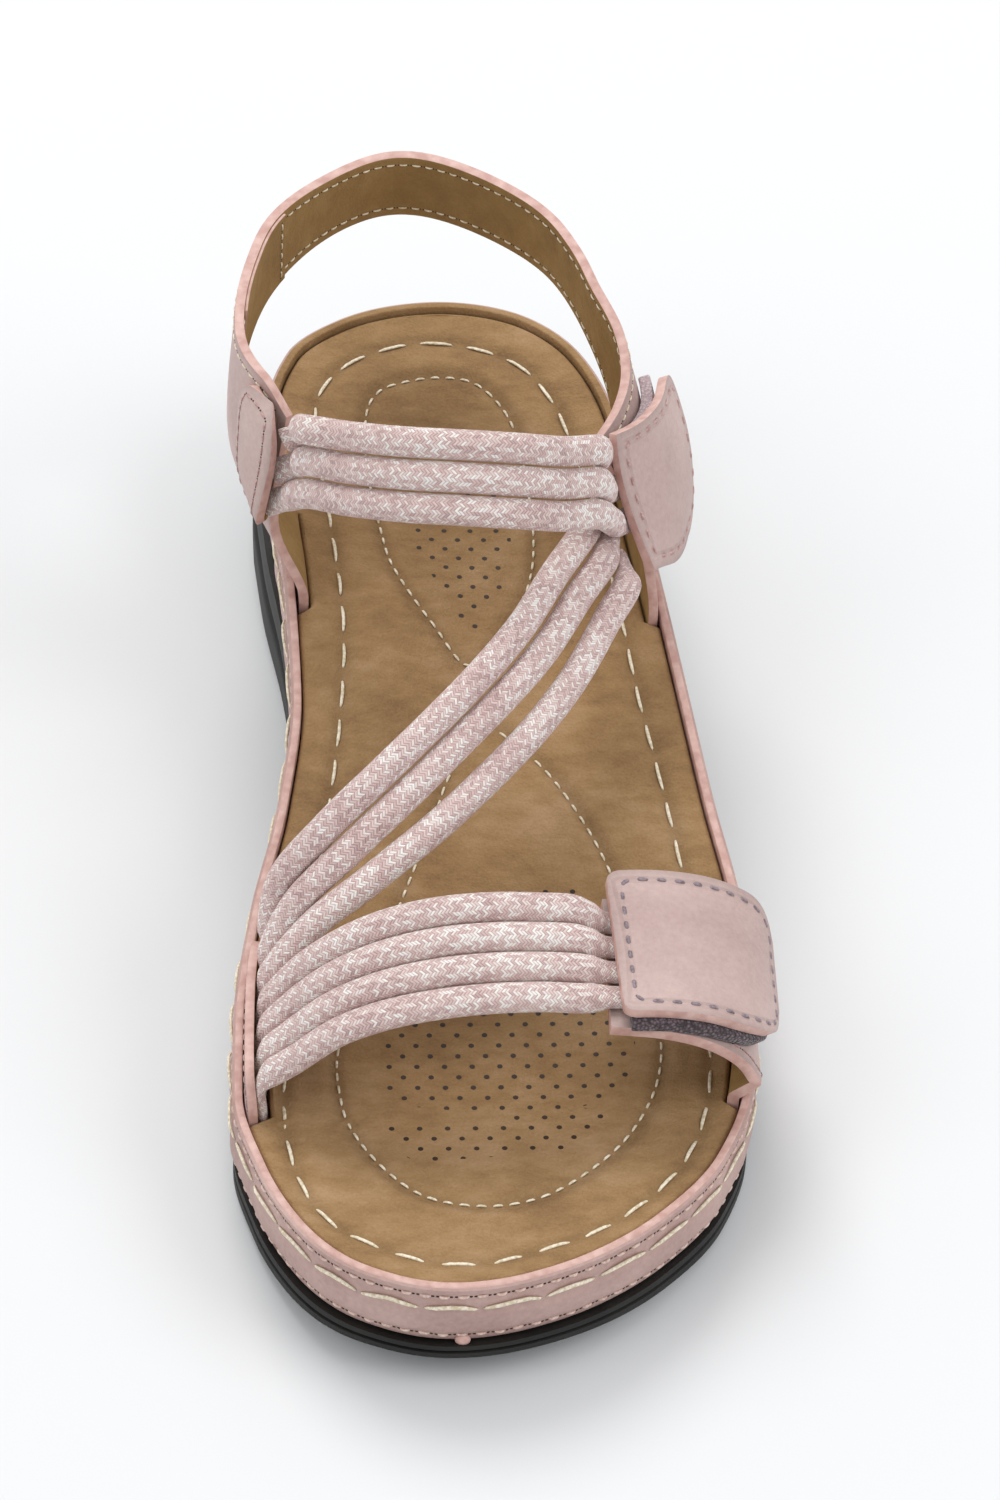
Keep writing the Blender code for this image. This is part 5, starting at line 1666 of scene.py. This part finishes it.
def make_toe_side_pieces():
    under_toes = Vector((0.0, along_to_y(TOES_MIDDLE), 0.0))
    rear, front = TOE_QUARTER_SPAN

    def quarter_place(u, v):
        return toe_wall(rear + (front - rear) * u, v)

    quarter = Sheet(quarter_place, UPPER_WALL, under_toes)
    quarter.build("toe_quarter", (40, 48), [PINK, LINING, EDGE], ("toe_quarter",))
    for label, u in (("rear", 0.07), ("front", 0.93)):
        track = [quarter.on(u, 0.24 + 0.70 * step / 40) for step in range(41)]
        sew(f"toe_quarter_stitches_{label}", track, EDGE_STITCH, ROSE)

    tab_rear, tab_front = TOE_TAB_SPAN
    tab_inner, tab_outer = TOE_TAB_REACH
    middle = 0.5 * (tab_rear + tab_front)
    reach = (toe_wall(middle, tab_inner) - toe_wall(middle, tab_outer)).length

    def tab_shape(share, side, grow=0.0):
        """Along and level on the wall: share runs to the tab's free end, side to the front."""
        half = 0.5 * (tab_front - tab_rear) * (
            round_end(share, *(TOE_TAB_FRONT_END if side > 0.0 else TOE_TAB_REAR_END))
        )
        corner = max(0.0, 1.0 - share * reach / TAB_CORNER)
        half -= TAB_CORNER * (1.0 - math.sqrt(1.0 - corner * corner)) / FOOTBED_LENGTH
        along = middle + side * half + grow * max(0.0, side) - TOE_TAB_SKEW * share
        slant = TAB_SLANT * 0.5 * (1.0 + side) * (1.0 - share)
        return along, tab_inner + (tab_outer - tab_inner) * share - slant


    def tape_place(u, v):
        along, level = tab_shape(0.05 + 0.92 * u, 2.0 * v - 1.0, TAPE_PEEP / FOOTBED_LENGTH)
        return lifted_toe_wall(along, level, TAPE_LIFT)

    pad = Sheet(tape_place, TAPE_THICKNESS, under_toes)
    pad.build("toe_hook_pad", (44, 30), [HOOK, HOOK, HOOK], ("toe_hook_pad",), 0.0004)

    def tab_place(u, v):
        along, level = tab_shape(0.5 - 0.5 * math.cos(math.pi * u), 2.0 * v - 1.0)
        return lifted_toe_wall(along, level, TAB_LIFT)

    tab = Sheet(tab_place, TAB_WALL, under_toes)
    tab.build("toe_tab", (60, 56), [TAB_PINK, PINK, EDGE], ("toe_tab",), 0.0005)
    sew_border("toe_tab_stitches", tab, MAUVE)


def make_toe_strip_piece():
    rear, front = TOE_STRIP_SPAN
    inset = RAND_WALL + GAP + 0.5 * STRIP_WALL

    def place(u, v):
        along = rear + (front - rear) * u
        rise = TOE_STRIP_RISE * UPPER_HEIGHT * (1.0 - (2.0 * u - 1.0) ** 8)
        base = inset_point(turn_at(along), MEDIAL, inset)
        height = rim_height(along) - SLOT_DEPTH + v * (SLOT_DEPTH + STRAP_LIFT + rise)
        return Vector((base.x, base.y, height))

    strip = Sheet(place, STRIP_WALL, Vector((0.0, along_to_y(TOES_MIDDLE), 0.03)))
    strip.build("toe_strip", (90, 14), [PINK, LINING, EDGE], ("toe_strip",))
    track = [strip.on(0.02 + 0.96 * step / 80, 0.80) for step in range(81)]
    sew("toe_strip_stitches", track, EDGE_STITCH, ROSE)


CORD_AROUND = 24
CORD_STEP = 0.0007


def cord(name, path, across_line, tucks):
    """Oval elastic cord along a smooth path, flattened and narrowed where an end is sewn in."""
    lengths = [0.0]
    for here, following in zip(path, path[1:]):
        lengths.append(lengths[-1] + (following - here).length)
    track = curve_through(lengths, [tuple(point) for point in path], False)
    lean = curve_through(lengths, [tuple(line) for line in across_line], True)
    total = lengths[-1]
    start_tuck, end_tuck = tucks
    count = int(total / CORD_STEP)

    def place(u, v):
        reach = total * v
        centre = Vector(track(reach))
        ahead = Vector(track(min(total, reach + PATH_STEP)))
        tangent = (ahead - Vector(track(max(0.0, reach - PATH_STEP)))).normalized()
        wide = Vector(lean(reach))
        wide = (wide - tangent * wide.dot(tangent)).normalized()
        thick = tangent.cross(wide)
        beyond = min(reach - start_tuck, total - end_tuck - reach)
        full = max(0.0, min(1.0, beyond / CORD_FLATTENING))
        depth = CORD_END_THICKNESS + (CORD_THICKNESS - CORD_END_THICKNESS) * full
        width = CORD_END_WIDTH + (CORD_WIDTH - CORD_END_WIDTH) * full
        angle = 2.0 * math.pi * u
        return (centre + wide * (0.5 * width * math.cos(angle))
                + thick * (0.5 * depth * math.sin(angle)))

    mesh, spots = laid_grid(CORD_AROUND, count, place)
    index_of = {vertex: spot for spot, vertex in spots.items()}
    flat_map = mesh.loops.layers.uv["lie"]
    for face in mesh.faces:
        for corner in face.loops:
            column, row = index_of[corner.vert]
            corner[flat_map].uv = (total * row / count, column / CORD_AROUND)
    bmesh.ops.remove_doubles(mesh, verts=mesh.verts, dist=1e-6)
    bmesh.ops.holes_fill(mesh, edges=[edge for edge in mesh.edges if edge.is_boundary])
    bmesh.ops.recalc_face_normals(mesh, faces=mesh.faces)
    return keep(name, mesh, [ELASTIC], (name,), 60.0)


# Welt stitches: lift over the leather, and bow between two holes, down when negative
WELT_LIFT = 0.00025
WELT_SCALLOP = -0.0015


def sew_rand():
    """Three rows of stitches round the rand. Those of the welt are big and sag into scallops."""
    steps = 720

    def row(height_of, lift=0.0):
        track = []
        for step in range(steps + 1):
            along = along_at(outline_spot(step / steps)[0])
            low = split_height(along) + GAP
            rim = rim_height(along)
            level = (height_of(low, rim) - low) / (rim - RAND_SHOULDER - low)
            track.append(rand_point(step / steps, level, lift))
        return track

    sew("rand_top_stitches", row(lambda low, rim: rim - RAND_SEAM_DROP), RAND_STITCH, BLUSH,
        True)
    sew("rand_welt_stitches", row(lambda low, rim: rim - WELT_DROP, WELT_LIFT), WELT_STITCH, CREAM,
        True, WELT_SCALLOP, False)
    sew("rand_low_stitches", row(lambda low, rim: low + RAND_SEAM_RISE), RAND_STITCH, BLUSH,
        True)


# Nub of the rand's seam at the toe: share of the way round, level, standing out, and its size
NUB_PLACE = (0.503, 0.02)
NUB_OUT = 0.0003
NUB_SIZE = Vector((0.0030, 0.0018, 0.0026))


def make_rand_nub():
    """Nub where the two ends of the rand's leather meet at the toe."""
    point, outward = rand_point(*NUB_PLACE)
    mesh = bmesh.new()
    for vertex in bmesh.ops.create_uvsphere(mesh, u_segments=12, v_segments=8, radius=0.5)["verts"]:
        vertex.co = point + outward * NUB_OUT + NUB_SIZE * vertex.co
    return keep("rand_seam_nub", mesh, [EDGE])


make_outsole_piece()
rand = make_rand_piece()
footbed = make_footbed_piece()
sew_rand()
make_rand_nub()
sew_bed("footbed_rim_stitches", BED_LINE, BED_STITCH, 0.0, BED_SCALLOP)
sew_bed("heel_teardrop_stitches", HEEL_LINE, SEAM_STITCH, TEARDROP_INWARD)
sew_bed("fore_teardrop_stitches", FORE_LINE, SEAM_STITCH, TEARDROP_INWARD)
perforate("fore_perforations", FORE_LINE, FORE_HOLES_SPAN)
perforate("heel_perforations", HEEL_LINE, HEEL_HOLES_SPAN)
make_heel_strap_pieces()
make_ankle_patch_piece()
make_ankle_tab_pieces()
make_toe_side_pieces()
make_toe_strip_piece()
make_instep_cords()
make_diagonal_cords()
make_toe_cords()

# Floor, studio light and camera
mesh = bmesh.new()
bmesh.ops.create_grid(mesh, x_segments=1, y_segments=1, size=6.0)
floor_data = bpy.data.meshes.new("studio_floor")
mesh.to_mesh(floor_data)
mesh.free()
floor = bpy.data.objects.new("studio_floor", floor_data)
scene.collection.objects.link(floor)
floor_paint, _tree = start_material("studio_floor_paint", 0.95, Specular_IOR_Level=0.1,
                                   Base_Color=linear("#E4E5E6"))
floor_data.materials.append(floor_paint)


# Big round softboxes over the shoe's middle: the back one is the key light
LIGHT_AIM = Vector((0.0, -0.09, 0.03))
SOFTBOX_SIZE = 1.6
SKY_STRENGTH = 0.76


def add_light(name, place, power, colour):
    light = bpy.data.lights.new(name, "AREA")
    light.shape = "DISK"
    light.size = SOFTBOX_SIZE
    light.energy = power
    light.color = linear(colour)[:3]
    lamp = bpy.data.objects.new(name, light)
    scene.collection.objects.link(lamp)
    lamp.location = place
    lamp.rotation_euler = (LIGHT_AIM - Vector(place)).to_track_quat("-Z", "Y").to_euler()


add_light("softbox_back", (-0.5, 1.5, 2.3), 36.0, "#FFFDFA")
add_light("softbox_left", (-1.8, -0.9, 1.9), 10.0, "#FFFFFF")
add_light("softbox_right", (1.9, -0.7, 1.9), 19.0, "#FFFFFF")

world = bpy.data.worlds.new("pale_studio")
scene.world = world
world.use_nodes = True
sky = world.node_tree.nodes["Background"]
sky.inputs["Color"].default_value = linear("#F2F4F6")
sky.inputs["Strength"].default_value = SKY_STRENGTH

level = math.cos(VIEW_DOWN)
ahead = Vector((math.sin(VIEW_TURN) * level, math.cos(VIEW_TURN) * level, -math.sin(VIEW_DOWN)))
right = Vector((math.cos(VIEW_TURN), -math.sin(VIEW_TURN), 0.0))
up = right.cross(ahead)
aim = (ahead
       + right * (SHOE_CENTRE_PIXEL[0] - IMAGE_CENTRE_PIXEL[0]) / PIXELS_PER_RADIAN
       - up * (SHOE_CENTRE_PIXEL[1] - IMAGE_CENTRE_PIXEL[1]) / PIXELS_PER_RADIAN).normalized()
across_view = aim.cross(up).normalized()
up_view = across_view.cross(aim)
camera_data = bpy.data.cameras.new("photo_camera")
camera_data.sensor_fit = "VERTICAL"
camera_data.sensor_height = SENSOR_HEIGHT
camera_data.lens = SENSOR_HEIGHT * PIXELS_PER_RADIAN * CLOSER / (2.0 * IMAGE_CENTRE_PIXEL[1])
camera_data.clip_start = 0.05
camera = bpy.data.objects.new("photo_camera", camera_data)
scene.collection.objects.link(camera)
camera.matrix_world = Matrix((
    (across_view.x, up_view.x, -aim.x, EYE.x),
    (across_view.y, up_view.y, -aim.y, EYE.y),
    (across_view.z, up_view.z, -aim.z, EYE.z),
    (0.0, 0.0, 0.0, 1.0),
))
scene.camera = camera
scene.view_settings.view_transform = "Standard"
